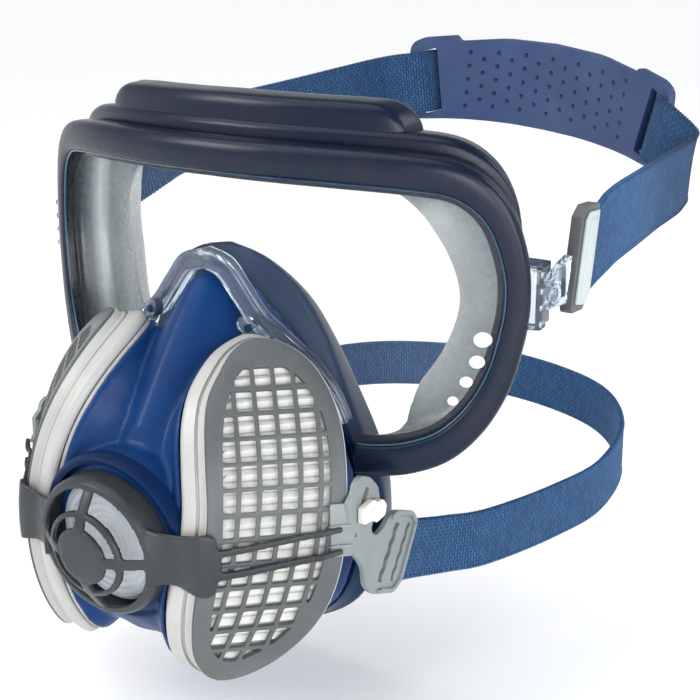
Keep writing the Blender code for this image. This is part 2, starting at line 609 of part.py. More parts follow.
def build_mask_seal():
    rings, rear = mask_rings(MASK_STEPS)
    start = rings[-1]
    start = start + (rear - rings[-2]) * 0.02
    lip = full_ring(SEAL_LIP, MASK_STEPS)
    crest = (rear + lip) / 2
    crest[:, 1] += 7.0
    outer = [start, (start + rear) / 2, rear, crest, lip]
    inner = [shifted(lip, 0.6, -1.9), shifted(crest, -0.6, -2.2), shifted(rear, -SEAL_WALL, -1.0)]
    inner += [shifted((start + rear) / 2, -SEAL_WALL), shifted(start, -SEAL_WALL)]
    return loft("half_mask_seal", outer + inner, "navy_soft", wrap=True, sharp=50.0)


# ---------------------------------------------------------------- filters
def grille_shift(a):
    """The grille's bars lean with its outline."""
    return 2.6 - 0.0029 * max(0.0, 20 - a) ** 2


def grille_holes():
    window = smooth_path(GRILLE_WINDOW, 60, closed=True)
    holes = []
    for row in range(GRILLE_ROWS):
        a0 = GRILLE_FIRST_ROW - row * GRILLE_ROW_PITCH + (GRILLE_ROW_PITCH - GRILLE_BAR) / 2
        a1 = a0 - GRILLE_ROW_PITCH + GRILLE_BAR
        for column in range(GRILLE_COLUMNS):
            w0 = GRILLE_FIRST_COLUMN + column * GRILLE_COLUMN_PITCH - (GRILLE_COLUMN_PITCH - GRILLE_BAR) / 2
            w1 = w0 + GRILLE_COLUMN_PITCH - GRILLE_BAR
            corners = [(w + grille_shift(a), a) for w, a in ((w0, a0), (w1, a0), (w1, a1), (w0, a1))]
            kept = clip_polygon(corners, window)
            if len(kept) > 2 and polygon_area(kept) > 3.0:
                holes.append(kept)
    return holes


def polygon_area(points):
    points = np.array(points)
    ahead = np.roll(points, -1, axis=0)
    return abs(np.sum(points[:, 0] * ahead[:, 1] - ahead[:, 0] * points[:, 1])) / 2


def clip_polygon(subject, window):
    """Keep the part of a small polygon inside a window outline, by pulling its outer corners in."""
    middle = np.mean(subject, axis=0)
    if not inside(window, middle):
        return []
    kept = []
    for corner in subject:
        point = np.array(corner, float)
        if not inside(window, point):
            low, high = 0.0, 1.0
            for _ in range(20):
                half = (low + high) / 2
                if inside(window, middle + (point - middle) * half):
                    low = half
                else:
                    high = half
            point = middle + (point - middle) * low
        kept.append(tuple(point))
    return kept


def build_filter(side, sign):
    frame = FilterFrame(sign)
    count = 44
    edge = smooth_path(GRILLE_EDGE, count, closed=True)
    base = smooth_path(RIM_BASE, count, closed=True)
    plate(f"filter_grille_{side}", edge, frame.place, -GRILLE_THICKNESS, 0.0, "grey_grille",
          holes=grille_holes())
    step = edge + (base - edge) * 0.45
    ledge = -GRILLE_THICKNESS - GAP
    levels = ((offset(edge, -0.2), ledge), (offset(edge, 0.4), ledge - 0.9), (step, -4.8), (base, -7.6),
              (base, -RIM_DEPTH), (offset(base, -3.2), -RIM_DEPTH), (offset(edge, -3.4), ledge))
    rings = [[frame.place(w, a, h) for w, a in ring] for ring, h in levels]
    loft(f"filter_rim_{side}", rings, "white_rim", wrap=True, sharp=40.0)
    bed = offset(smooth_path(GRILLE_EDGE, 30, closed=True), -3.9)
    plate(f"filter_media_{side}", bed, frame.place, -8.8, ledge, "filter_paper", spacing=12.0)
    back = offset(smooth_path(RIM_BASE, 30, closed=True), -0.2)
    low = -RIM_DEPTH - GAP - BASE_THICKNESS
    port = circle(12.0, 20, PORT_CENTRE)
    plate(f"filter_base_{side}", back, frame.place, low, -RIM_DEPTH - GAP, "white_rim", holes=[port],
          spacing=14.0)
    ring = circle(17.0, 28, PORT_CENTRE)
    plate(f"filter_gasket_{side}", ring, frame.place, -SEAT_DEPTH + 0.6, low - 0.7, "seal_rubber",
          holes=[circle(13.6, 28, PORT_CENTRE)])


def spoke_holes(inner, outer, spoke, arc_steps=4, centre=(0.0, 0.0)):
    """Four openings between two radii, left apart by spokes of a width."""
    holes = []
    for quarter in range(4):
        points = []
        for radius, forward in ((outer, True), (inner, False)):
            clear = math.asin(min(0.9, spoke / 2 / radius))
            sweep = np.linspace(clear, math.pi / 2 - clear, arc_steps + 1) + quarter * math.pi / 2
            for angle in sweep if forward else sweep[::-1]:
                points.append((centre[0] + radius * math.cos(angle), centre[1] + radius * math.sin(angle)))
        holes.append(points)
    return holes


def build_inhalation_valve(side, sign):
    frame = FilterFrame(sign)
    holes = spoke_holes(2.5, 10.6, 1.8, centre=PORT_CENTRE)
    plate(f"inhalation_seat_{side}", circle(12.6, 24, PORT_CENTRE), frame.place,
          -SEAT_DEPTH - 3.4, -SEAT_DEPTH - 1.8, "seal_rubber", holes=holes)
    pivot = frame.place(*PORT_CENTRE, -SEAT_DEPTH - 4)
    plate(f"inhalation_flap_{side}", circle(11.6, 24, PORT_CENTRE), frame.place,
          -SEAT_DEPTH - 4.4, -SEAT_DEPTH - 3.7, "valve_silicone", spacing=8.0, pivot=pivot)


# ---------------------------------------------------------------- exhalation valve and harness yoke
def build_exhalation_valve():
    holes = spoke_holes(3.2, 13.8, 2.4)
    plate("exhalation_seat", circle(19.4, 36), valve_place, -8.4, -6.7, "valve_silicone", holes=holes)
    plate("exhalation_flap", circle(16.4, 32), valve_place, -6.3, -5.6, "valve_silicone",
          pivot=valve_place(0, 0, -6.0))


def cover_place(x, y, height):
    radius = math.hypot(x, y)
    crown = VALVE_DOME * (1 - min(1.0, max(0.0, radius - VALVE_DISC_RADIUS) / 10.4) ** 1.35)
    return valve_place(x, y, height + crown)


def arm_place(frame):
    """Height of a yoke arm: flat on the grille, falling over the rim, lifted over the bracket."""
    def place(w, a, h):
        level = np.interp(w, (-34, -30, -26.5, -21.5, 12.5, 14.6), (-8.1, -7.9, -5.4, 0.6, 0.4, 2.3))
        return frame.place(w, a, h + level)
    return place


def build_yoke():
    outer, inner = VALVE_SKIRT_RADIUS, VALVE_SKIRT_RADIUS - 1.6
    profile = ((-8.0, outer), (-2.0, outer), (-0.6, outer - 0.6), (0.0, VALVE_FACE_RADIUS),
               (0.0, 17.6), (-1.7, 17.6), (-2.2, inner), (-8.0, inner))
    yoke = turned("harness_yoke", profile, VALVE_CENTRE, valve_axis(), "grey_grille", count=44, wrap=True)
    holes = spoke_holes(8.9, 11.4, 4.2) + spoke_holes(13.4, 17.4, 4.0)
    cover = plate("cover_form", circle(18.6, 44), cover_place, -1.6, 0.02, "grey_grille", holes=holes)
    boolean(yoke, cover, "UNION")
    for side, sign in SIDES:
        arm = plate(f"arm_form_{side}", ARM_EDGE, arm_place(FilterFrame(sign)), 0.0, 1.6, "grey_grille",
                    spacing=5.0)
        boolean(yoke, arm, "UNION")
    clear = turned("cover_room", ((-12.0, inner - 0.05), (-2.3, inner - 0.05)), VALVE_CENTRE, valve_axis(),
                   "grey_grille", count=44)
    boolean(yoke, clear)
    return yoke


# ---------------------------------------------------------------- strap brackets
def bracket_place(sign):
    corner, along = Vector(BRACKET_CORNER), Vector(BRACKET_ALONG)
    across = Vector((along.y, -along.x, 0.0))

    def place(s, z, h):
        point = corner + along * s + across * h
        return (point.x * sign, point.y, z)
    return place


def build_bracket(side, sign):
    frame = FilterFrame(sign)
    place = bracket_place(sign)
    half = BRACKET_HALF_THICKNESS
    bracket = plate(f"strap_bracket_{side}", BRACKET_EDGE, place, -half, half, "bracket_grey",
                    holes=list(BRACKET_SLOTS) + [PIN_SLOT])
    tab = plate(f"tab_form_{side}", rounded(17.3, 23.4, -12.6, 2.8, 0.8), frame.place, 0.35, 1.55,
                "bracket_grey", spacing=5.0)
    boolean(bracket, tab, "UNION")
    pin = plate(f"bracket_pin_{side}", PIN_HEAD, place, half + 0.3, half + 2.4, "pin_white")
    centre = place(*PIN_PLACE, half + 1.0)
    stem = turned(f"stem_form_{side}", ((0, 1.0), (-3.4, 1.0)), centre, (sign, 0.06, 0), "pin_white",
                  count=12)
    boolean(pin, stem, "UNION")


# ---------------------------------------------------------------- straps
def build_ribbon(name, points, width, count, pivot, start_up=None, end_up=None):
    """Flat webbing along a smooth path; its width stays upright, or leans to fit what holds its ends."""
    path = smooth_path(points, count)
    if end_up is not None:
        fine = smooth_path(points, 401)
        stops = np.concatenate((np.linspace(0, 340, count - 15), np.linspace(345, 400, 15)))
        path = fine[np.rint(stops).astype(int)]
    rings = []
    for k, point in enumerate(path):
        along = Vector(path[min(k + 1, count - 1)] - path[max(k - 1, 0)]).normalized()
        face = along.cross(Vector((0, 0, 1))).normalized()
        up = face.cross(along)
        if start_up is not None and k < 3:
            up = Vector(start_up).lerp(up, k / 3)
        if end_up is not None and k > count - 19:
            up = up.lerp(Vector(end_up), min(1.0, (k - count + 19) / 4))
        face = (along.cross(up)).normalized()
        middle = Vector(point)
        rings.append([middle + up * (width / 2 * u) + face * (STRAP_THICKNESS / 2 * f)
                      for u, f in ((1, 1), (1, -1), (-1, -1), (-1, 1))])
    return loft(name, rings, "webbing_blue", pivot=pivot, sharp=60.0)


def plate_place(u, v, h):
    """The head plate: bent around the head, arched and rolled."""
    angle = u / PLATE_RADIUS
    drop = v - PLATE_DROP * (u / 57.0) ** 2
    x = (PLATE_RADIUS + h) * math.sin(angle)
    y = (PLATE_RADIUS + h) * math.cos(angle) - PLATE_RADIUS
    turn_x = x * math.cos(PLATE_ROLL) + drop * math.sin(PLATE_ROLL)
    turn_z = -x * math.sin(PLATE_ROLL) + drop * math.cos(PLATE_ROLL)
    return (PLATE_CENTRE[0] + turn_x, PLATE_CENTRE[1] + y, PLATE_CENTRE[2] + turn_z)


def plate_lean(sign):
    """Angle of the plate's own upright at its slots, where the arched plate slopes."""
    return math.atan(2 * PLATE_DROP * PLATE_SLOT / 57.0 ** 2) * sign


def plate_slot(sign):
    lean = plate_lean(sign)
    points = rounded(-3.8, 3.8, -13.5, 13.5, 1.2)
    return [(PLATE_SLOT * sign + x * math.cos(lean) + y * math.sin(lean),
             y * math.cos(lean) - x * math.sin(lean)) for x, y in points]


def threading(sign):
    """The strap's last points, inside the plate's end bar and out through its slot."""
    return [plate_place(u * sign, 0.0, h) for u, h in HEAD_STRAP_THREADING]


def slot_upright(sign):
    low, high = (Vector(plate_place(PLATE_SLOT * sign - 8 * math.sin(plate_lean(sign)) * k, -8 * k, 0))
                 for k in (1, -1))
    return (high - low).normalized()


def build_head_straps():
    lean = Vector((0.0, math.sin(BUCKLE_LEAN), math.cos(BUCKLE_LEAN)))
    for (side, sign), route in zip(SIDES, (HEAD_STRAP_LEFT, HEAD_STRAP_RIGHT)):
        build_ribbon(f"head_strap_{side}", list(route) + threading(sign), HEAD_STRAP_WIDTH, 40, TEMPLE_PIVOT,
                     start_up=lean, end_up=slot_upright(sign))


def build_head_plate():
    side = list(PLATE_HALF)
    outline = side + [mirrored(p) for p in side[-2:0:-1]]
    slots = [plate_slot(1.0), plate_slot(-1.0)]
    return plate("head_plate", outline, plate_place, -PLATE_THICKNESS / 2, PLATE_THICKNESS / 2, "plate_navy",
                 holes=slots, spacing=9.0, pivot=TEMPLE_PIVOT)


def build_straps():
    build_head_straps()
    build_ribbon("neck_strap", NECK_STRAP, NECK_STRAP_WIDTH, 76, NECK_PIVOT)
    build_head_plate()


# ---------------------------------------------------------------- temple fittings
def upright_place(sign, lean=0.0):
    """Plates that stand beside the head: drawn in (Y, Z), height along X, the top leaning back."""
    return lambda y, z, x: (x * sign, y + z * math.tan(lean), z)


def build_temple(side, sign):
    pivot = (TEMPLE_PIVOT[0] * sign, TEMPLE_PIVOT[1], TEMPLE_PIVOT[2])
    plate(f"temple_block_{side}", BLOCK_EDGE, lambda x, y, z: (x * sign, y, z), *BLOCK_HEIGHT, "clear_clip")
    profile = ((96.5, 2.1), (99.5, 2.1), (99.6, 3.3), (100.3, 3.3), (100.7, 2.6))
    turned(f"temple_pin_{side}", profile, (0, pivot[1], pivot[2]), (sign, 0, 0), "clear_clip", count=20)
    y0, z0 = TEMPLE_PIVOT[1], TEMPLE_PIVOT[2]
    turns = np.linspace(math.pi * 0.6, math.pi * 1.6, 9)
    nose = [(y0 + LINK_RADIUS * math.cos(t), z0 + LINK_RADIUS * math.sin(t)) for t in turns]
    outline = nose + [(38.8, -0.5), (39.4, 0.2), (41.6, 13.4), (40.6, 14.2), (35.5, 12.5)]
    holes = [circle(2.45, 16, (y0, z0)), rounded(35.2, 37.6, 2.2, 11.8, 1.1)]
    plate(f"temple_link_{side}", outline, upright_place(sign), *LINK_DEPTHS, "clear_clip", holes=holes,
          pivot=pivot)
    y1, y2 = BUCKLE_FRONT, BUCKLE_FRONT + BUCKLE_LENGTH
    low, high = BUCKLE_HEIGHT
    leaning = upright_place(sign, BUCKLE_LEAN)
    frame = [(y1, low + 1), (y1 + 1, low), (y2 - 3, low), (y2, low + 4), (y2, high - 1), (y2 - 1, high),
             (y1 + 3, high), (y1, high - 3)]
    slots = [rounded(y1 + 2.2, y1 + 4.2, low + 3, high - 3, 0.8),
             rounded(y1 + 6.2, y1 + 8.2, low + 4.5, high - 3, 0.8)]
    plate(f"temple_buckle_{side}", frame, leaning, *BUCKLE_DEPTHS, "buckle_dark", holes=slots, pivot=pivot)
    cover = [(y1 + 0.5, low + 2), (y2 - 3.6, low + 1.2), (y2 - 0.5, low + 5), (y2 - 0.5, high - 0.8),
             (y1 + 2.8, high - 0.8), (y1 + 0.5, high - 3)]
    plate(f"buckle_insert_{side}", cover, leaning, *INSERT_DEPTHS, "buckle_pale", pivot=pivot)


def build():
    clear_scene()
    build_lens()
    build_goggle_frame()
    build_goggle_skirt()
    build_brow_vents()
    build_nose_clip()
    build_clip_studs()
    build_half_mask()
    build_mask_seal()
    build_exhalation_valve()
    build_yoke()
    build_straps()
    for side, sign in SIDES:
        build_filter(side, sign)
        build_inhalation_valve(side, sign)
        build_bracket(side, sign)
        build_temple(side, sign)


build()
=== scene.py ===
import math

import bmesh
import bpy
import numpy as np
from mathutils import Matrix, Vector, geometry


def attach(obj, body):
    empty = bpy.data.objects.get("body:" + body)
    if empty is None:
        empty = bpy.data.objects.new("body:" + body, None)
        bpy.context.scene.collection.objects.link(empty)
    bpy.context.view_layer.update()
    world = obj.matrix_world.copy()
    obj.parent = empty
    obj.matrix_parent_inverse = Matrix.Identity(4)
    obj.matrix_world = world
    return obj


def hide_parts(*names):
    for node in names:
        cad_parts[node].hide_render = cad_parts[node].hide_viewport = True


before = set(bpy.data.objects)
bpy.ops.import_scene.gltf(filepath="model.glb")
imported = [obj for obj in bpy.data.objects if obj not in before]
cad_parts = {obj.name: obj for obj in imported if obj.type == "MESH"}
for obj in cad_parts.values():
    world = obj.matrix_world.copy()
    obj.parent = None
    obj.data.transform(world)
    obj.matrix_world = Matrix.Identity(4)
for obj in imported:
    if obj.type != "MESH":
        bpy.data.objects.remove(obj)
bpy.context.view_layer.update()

# Lengths are in millimetres from the lens datum: X to the wearer's left, Y back, Z up.
# The frame's origin lies FACE_DEPTH behind that datum.
MM = 0.001
FACE_DEPTH = 40.0
SIDES = (("left", 1.0), ("right", -1.0))
PLANS = {}
LOOKS = {}


# ---------------------------------------------------------------- making pieces
def metres(point):
    return (point[0] * MM, (point[1] - FACE_DEPTH) * MM, point[2] * MM)


def new_object(name, vertices, faces):
    """A mesh object from datum millimetres, with its faces pointing out."""
    mesh = bpy.data.meshes.new(name)
    mesh.from_pydata([metres(v) for v in vertices], [], faces)
    tidy = bmesh.new()
    tidy.from_mesh(mesh)
    bmesh.ops.remove_doubles(tidy, verts=tidy.verts, dist=1e-6)
    bmesh.ops.recalc_face_normals(tidy, faces=tidy.faces)
    tidy.to_mesh(mesh)
    tidy.free()
    made = bpy.data.objects.new(name, mesh)
    bpy.context.scene.collection.objects.link(made)
    return made


def settle(obj):
    """Apply an object's modifiers."""
    graph = bpy.context.evaluated_depsgraph_get()
    mesh = bpy.data.meshes.new_from_object(obj.evaluated_get(graph))
    obj.modifiers.clear()
    obj.data = mesh
    return obj


def bevel(obj, width, segments=2, angle=35.0):
    change = obj.modifiers.new("soft_edges", "BEVEL")
    change.width = width * MM
    change.segments = segments
    change.limit_method = "ANGLE"
    change.angle_limit = math.radians(angle)
    change.harden_normals = False
    return settle(obj)


def boolean(obj, cutter, operation, solver="EXACT"):
    change = obj.modifiers.new(operation.lower(), "BOOLEAN")
    change.object = cutter
    change.operation = operation
    change.solver = solver
    settle(obj)
    bpy.data.objects.remove(cutter)
    return obj


def melt(obj, voxel, rounds):
    """Fuse a closed mesh's shapes into one skin and smooth the joins between them."""
    change = obj.modifiers.new("melt", "REMESH")
    change.mode = "VOXEL"
    change.voxel_size = voxel * MM
    settle(obj)
    change = obj.modifiers.new("flow", "SMOOTH")
    change.factor = 0.5
    change.iterations = rounds
    return settle(obj)


def finish(obj, look, body, nodes=(), sharp=40.0):
    """Give a piece its look, its body and the CAD nodes it stands for."""
    obj.data.shade_smooth()
    obj.data.set_sharp_from_angle(angle=math.radians(sharp))
    obj.data.materials.clear()
    obj.data.materials.append(LOOKS[look])
    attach(obj, body)
    if nodes:
        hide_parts(*nodes)
    return obj


# ---------------------------------------------------------------- curves and outlines
def smooth_path(points, count, closed=False):
    """Evenly spaced points on a Catmull-Rom curve through the given ones."""
    points = np.array(points, float)
    total = len(points)
    spans = total if closed else total - 1
    fine = []
    for span in range(spans):
        if closed:
            p0, p1, p2, p3 = (points[(span + k) % total] for k in (-1, 0, 1, 2))
        else:
            p1, p2 = points[span], points[span + 1]
            p0 = points[span - 1] if span else 2 * p1 - p2
            p3 = points[span + 2] if span + 2 < total else 2 * p2 - p1
        for t in np.arange(0, 1, 1 / 24):
            fine.append(0.5 * (2 * p1 + (p2 - p0) * t + (2 * p0 - 5 * p1 + 4 * p2 - p3) * t ** 2
                               + (3 * p1 - p0 - 3 * p2 + p3) * t ** 3))
    fine.append(points[0] if closed else points[-1])
    fine = np.array(fine)
    reach = np.concatenate(([0], np.cumsum(np.linalg.norm(np.diff(fine, axis=0), axis=1))))
    stops = np.linspace(0, reach[-1], count + 1 if closed else count)
    path = np.stack([np.interp(stops, reach, fine[:, k]) for k in range(fine.shape[1])], -1)
    return path[:-1] if closed else path


def mirrored(point):
    return (-point[0], *point[1:])


def full_ring(half, count):
    """Close a half ring that runs down from the midline at the top to the midline at the bottom."""
    side = smooth_path(half, count)
    side[0][0] = 0.0
    side[-1][0] = 0.0
    return np.array([tuple(p) for p in side] + [mirrored(p) for p in side[-2:0:-1]])


def offset(outline, distance):
    """Move a closed outline outwards by a distance."""
    outline = np.array(outline, float)
    ahead = np.roll(outline, -1, axis=0)
    along = ahead - np.roll(outline, 1, axis=0)
    along /= np.linalg.norm(along, axis=1)[:, None]
    area = np.sum(outline[:, 0] * ahead[:, 1] - ahead[:, 0] * outline[:, 1])
    outward = np.stack([along[:, 1], -along[:, 0]], -1) * (1 if area > 0 else -1)
    return outline + outward * distance


def circle(radius, count, centre=(0.0, 0.0)):
    turns = np.arange(count) * 2 * math.pi / count
    return [(centre[0] + radius * math.cos(t), centre[1] + radius * math.sin(t)) for t in turns]


def soft_corners(points, radius, steps=3):
    """Round each corner of a closed flat outline; radius may be one number or one for each corner."""
    points = [np.array(p, float) for p in points]
    radii = np.broadcast_to(radius, len(points))
    made = []
    for k, point in enumerate(points):
        before, after = points[k - 1] - point, points[(k + 1) % len(points)] - point
        reach_before = min(radii[k], np.linalg.norm(before) * 0.48)
        reach_after = min(radii[k], np.linalg.norm(after) * 0.48)
        start = point + before / np.linalg.norm(before) * reach_before
        end = point + after / np.linalg.norm(after) * reach_after
        for t in np.linspace(0, 1, steps + 1):
            made.append(tuple(start * (1 - t) ** 2 + 2 * point * t * (1 - t) + end * t ** 2))
    return made


def box_outline(x0, x1, y0, y1):
    return [(x1, y1), (x0, y1), (x0, y0), (x1, y0)]


def inside(outline, point):
    x, y = point
    found = False
    for (x0, y0), (x1, y1) in zip(outline, np.roll(outline, -1, axis=0)):
        if (y0 > y) != (y1 > y) and x < (x1 - x0) * (y - y0) / (y1 - y0) + x0:
            found = not found
    return found


# ---------------------------------------------------------------- solids
def loft(name, rings, wrap=False):
    size = len(rings[0])
    vertices = [tuple(p) for ring in rings for p in ring]
    faces = []
    last = len(rings) if wrap else len(rings) - 1
    for k in range(last):
        start, following = k * size, ((k + 1) % len(rings)) * size
        for i in range(size):
            j = (i + 1) % size
            faces.append((start + i, start + j, following + j, following + i))
    if not wrap:
        for start, ring in ((0, rings[0]), (last * size, rings[-1])):
            vertices.append(tuple(np.mean([tuple(p) for p in ring], axis=0)))
            faces += [(start + i, start + (i + 1) % size, len(vertices) - 1) for i in range(size)]
    return new_object(name, vertices, faces)


def sheet_plan(outline, holes, spacing, extra=()):
    """Flat triangles filling an outline around its holes, with inner points on a grid and extra ones."""
    loops = [np.array(outline, float)] + [np.array(h, float) for h in holes]
    flat, edges = [], []
    for ring in loops:
        start = len(flat)
        flat += [Vector(p) for p in ring]
        edges += [(start + i, start + (i + 1) % len(ring)) for i in range(len(ring))]
    if spacing is not None:
        across, upward = np.broadcast_to(spacing, 2)
        rim = np.concatenate(loops + [np.array(extra)] if len(extra) else loops)
        lowest, highest = loops[0].min(0), loops[0].max(0)
        for u in np.arange(lowest[0] + across / 2, highest[0], across):
            for v in np.arange(math.ceil(lowest[1] / upward) * upward, highest[1], upward):
                if np.linalg.norm(rim - (u, v), axis=1).min() > min(across, upward) * 0.4:
                    flat.append(Vector((u, v)))
    flat += [Vector(p) for p in extra]
    points, _, triangles, *_ = geometry.delaunay_2d_cdt(flat, edges, [], 0, 1e-5)
    kept = []
    for t in triangles:
        middle = sum((points[k] for k in t), Vector((0, 0))) / 3
        if inside(loops[0], middle) and not any(inside(hole, middle) for hole in loops[1:]):
            kept.append(tuple(t))
    return [(p.x, p.y) for p in points], kept


def plate(name, outline, place, low, high, holes=(), spacing=None, extra=()):
    """A sheet cut to a flat outline with holes, then bent by place(u, v, height)."""
    points, triangles = sheet_plan(outline, holes, spacing, extra)
    count = len(points)
    vertices = [place(u, v, high) for u, v in points] + [place(u, v, low) for u, v in points]
    faces = list(triangles) + [tuple(count + k for k in reversed(t)) for t in triangles]
    used = {(a, b) for t in triangles for a, b in zip(t, (*t[1:], t[0]))}
    faces += [(b, a, a + count, b + count) for a, b in used if (b, a) not in used]
    made = new_object(name, vertices, faces)
    PLANS[name] = np.array(points)
    return made


def turned(name, profile, centre, axis, count=64, wrap=False):
    """A turned piece: profile holds (distance along the axis, radius)."""
    centre, axis = Vector(centre), Vector(axis).normalized()
    across = axis.orthogonal().normalized()
    upward = axis.cross(across)
    rings = [[centre + axis * along + across * x + upward * y for x, y in circle(radius, count)]
             for along, radius in profile]
    return loft(name, rings, wrap)


# ---------------------------------------------------------------- materials
class Look:
    """A material being made, with the node set-ups that the surfaces share."""

    def __init__(self, name):
        self.material = bpy.data.materials.new(name)
        self.material.use_nodes = True
        self.tree = self.material.node_tree
        self.shader = self.tree.nodes["Principled BSDF"]
        LOOKS[name] = self.material

    def add(self, kind, settings=(), **links):
        """A new node with its settings, fed by links that are named after its inputs."""
        node = self.tree.nodes.new(kind)
        for key, value in dict(settings).items():
            if key in node.inputs:
                node.inputs[key].default_value = value
            else:
                setattr(node, key, value)
        for key, source in links.items():
            self.tree.links.new(source, node.inputs[key.replace("_", " ")])
        return node

    def place(self):
        return self.add("ShaderNodeTexCoord").outputs["Object"]

    def marks(self, name, output="Fac"):
        """The numbers that mark() or ribbon() stored on the mesh."""
        return self.add("ShaderNodeAttribute", {"attribute_name": name}).outputs[output]

    def noise(self, place, scale, detail=2.0, roughness=0.5, distortion=0.0):
        return self.add("ShaderNodeTexNoise", {"Scale": scale, "Detail": detail, "Roughness": roughness,
                                               "Distortion": distortion}, Vector=place).outputs["Fac"]

    def ramp(self, source, *stops):
        """A colour ramp fed by source; each stop is (place, colour)."""
        node = self.add("ShaderNodeValToRGB", Fac=source)
        while len(node.color_ramp.elements) < len(stops):
            node.color_ramp.elements.new(0.5)
        for element, (place, colour) in zip(node.color_ramp.elements, stops):
            element.position = place
            element.color = (*colour, 1.0)
        return node.outputs["Color"]

    def multiplied(self, first, second, factor=1.0):
        mix = self.add("ShaderNodeMix", {"data_type": "RGBA", "blend_type": "MULTIPLY"})
        mix.inputs["Factor"].default_value = factor
        self.tree.links.new(first, mix.inputs[6])
        self.tree.links.new(second, mix.inputs[7])
        return mix.outputs[2]

    def paint(self, colour):
        self.tree.links.new(colour, self.shader.inputs["Base Color"])

    def vary(self, socket, source, low, high):
        """Let a shader value follow source between two limits."""
        spread = self.add("ShaderNodeMapRange", {"To Min": low, "To Max": high}, Value=source)
        self.tree.links.new(spread.outputs["Result"], self.shader.inputs[socket])

    def bump(self, height, strength, distance):
        relief = self.add("ShaderNodeBump", {"Strength": strength, "Distance": distance}, Height=height)
        self.tree.links.new(relief.outputs["Normal"], self.shader.inputs["Normal"])

    def set(self, values):
        for socket, value in values.items():
            self.shader.inputs[socket].default_value = value


def moulded(name, colour, second, roughness, grain=900.0, depth=0.15, blotch=45.0, specular=0.5, coat=0.0,
            wear=0.06, pitted=False):
    """Moulded plastic or rubber: blotches of a second colour, fine grain and uneven gloss; when pitted,
    painted shade in the pits.
    """
    look = Look(name)
    place = look.place()
    tint = look.ramp(look.noise(place, blotch, 4.0, 0.6), (0.36, colour), (0.70, second))
    if pitted:
        # Painted shade: the pits, marked by a low depth, are darkened.
        shade = look.ramp(look.marks("depth"), (0.1, (0.22, 0.24, 0.30)), (0.8, (1.0, 1.0, 1.0)))
        tint = look.multiplied(tint, shade)
    look.paint(tint)
    scuffs = look.noise(place, blotch * 5, 6.0, 0.7)
    look.vary("Roughness", scuffs, max(0.02, roughness - wear), min(1.0, roughness + wear))
    look.bump(look.noise(place, grain, 3.0), depth, 0.0002)
    look.set({"Specular IOR Level": specular, "Coat Weight": coat, "Coat Roughness": 0.25})


def clear_plastic(name, colour, alpha, roughness, streaks):
    """Clear moulded plastic: see-through, glossy, with faint flow streaks."""
    look = Look(name)
    flow = look.noise(look.place(), streaks, distortion=1.5)
    pale = tuple(min(1.0, c * 1.06) for c in colour)
    look.paint(look.ramp(flow, (0.3, colour), (0.7, pale)))
    look.vary("Alpha", flow, alpha * 0.8, min(1.0, alpha * 1.2))
    look.vary("Roughness", flow, roughness, roughness * 1.8)
    look.bump(flow, 0.05, 0.0003)
    look.set({"Specular IOR Level": 0.12})


def glassy(name, colour, roughness):
    """Clear moulded plastic that bends light, with faint flow waves."""
    look = Look(name)
    flow = look.noise(look.place(), 160.0, distortion=1.5)
    deep = tuple(c * 0.93 for c in colour)
    look.paint(look.ramp(flow, (0.3, deep), (0.7, colour)))
    look.vary("Roughness", flow, roughness, roughness * 1.8)
    look.bump(flow, 0.12, 0.0004)
    look.set({"Transmission Weight": 0.96, "IOR": 1.47})


def skirt_silicone():
    """Translucent grey silicone with painted shade where it meets the lens, a painted highlight band further
    back, and faint bands of interference colour.
    """
    look = Look("grey_skirt")
    place = look.place()
    # Painted light: this ramp over depth paints shade next to the lens and a highlight band near 0.62 on the
    # silicone's grey.
    tone_and_painted_light = look.ramp(look.marks("depth"), (0.0, (0.004, 0.009, 0.020)), (0.22, (0.006, 0.014, 0.028)),
                     (0.30, (0.055, 0.075, 0.085)), (0.44, (0.19, 0.23, 0.245)), (0.62, (0.66, 0.70, 0.71)),
                     (0.78, (0.27, 0.31, 0.32)), (1.0, (0.34, 0.38, 0.39)))
    waves = look.add("ShaderNodeTexWave", {"Scale": 30.0, "Distortion": 5.0, "Detail": 2.0}, Vector=place)
    bands = look.ramp(waves.outputs["Fac"], (0.2, (0.93, 1.0, 0.96)), (0.5, (1.0, 0.96, 1.0)),
                      (0.8, (0.95, 0.98, 1.0)))
    look.paint(look.multiplied(tone_and_painted_light, bands, 0.4))
    grains = look.noise(place, 500.0, 3.0)
    look.bump(grains, 0.08, 0.0002)
    look.vary("Roughness", grains, 0.20, 0.34)
    look.set({"Subsurface Weight": 0.4, "Subsurface Scale": 0.004})


def webbing():
    """Elastic webbing: knitted rows from the weave marks, darker between rows, with a soft sheen."""
    look = Look("webbing_blue")
    weave = look.marks("weave", "Vector")
    stitches = {"Scale": 1.0, "Mortar Size": 0.22, "Mortar Smooth": 0.7, "Bias": 0.1, "Brick Width": 2.4,
                "Row Height": 1.1, "offset": 0.5, "Color1": (0.008, 0.066, 0.185, 1.0),
                "Color2": (0.022, 0.112, 0.270, 1.0), "Mortar": (0.002, 0.014, 0.045, 1.0)}
    knit = look.add("ShaderNodeTexBrick", stitches, Vector=weave)
    fuzz = look.noise(weave, 0.9, 5.0, 0.7)
    shade = look.ramp(fuzz, (0.3, (0.78, 0.80, 0.86)), (0.7, (1.0, 1.0, 1.0)))
    look.paint(look.multiplied(knit.outputs["Color"], shade))
    height = look.add("ShaderNodeMath", {"operation": "SUBTRACT"})
    look.tree.links.new(fuzz, height.inputs[0])
    look.tree.links.new(knit.outputs["Fac"], height.inputs[1])
    look.bump(height.outputs[0], 0.9, 0.0004)
    look.vary("Roughness", fuzz, 0.72, 0.95)
    look.set({"Sheen Weight": 0.12, "Sheen Roughness": 0.4, "Sheen Tint": (0.5, 0.65, 1.0, 1.0)})


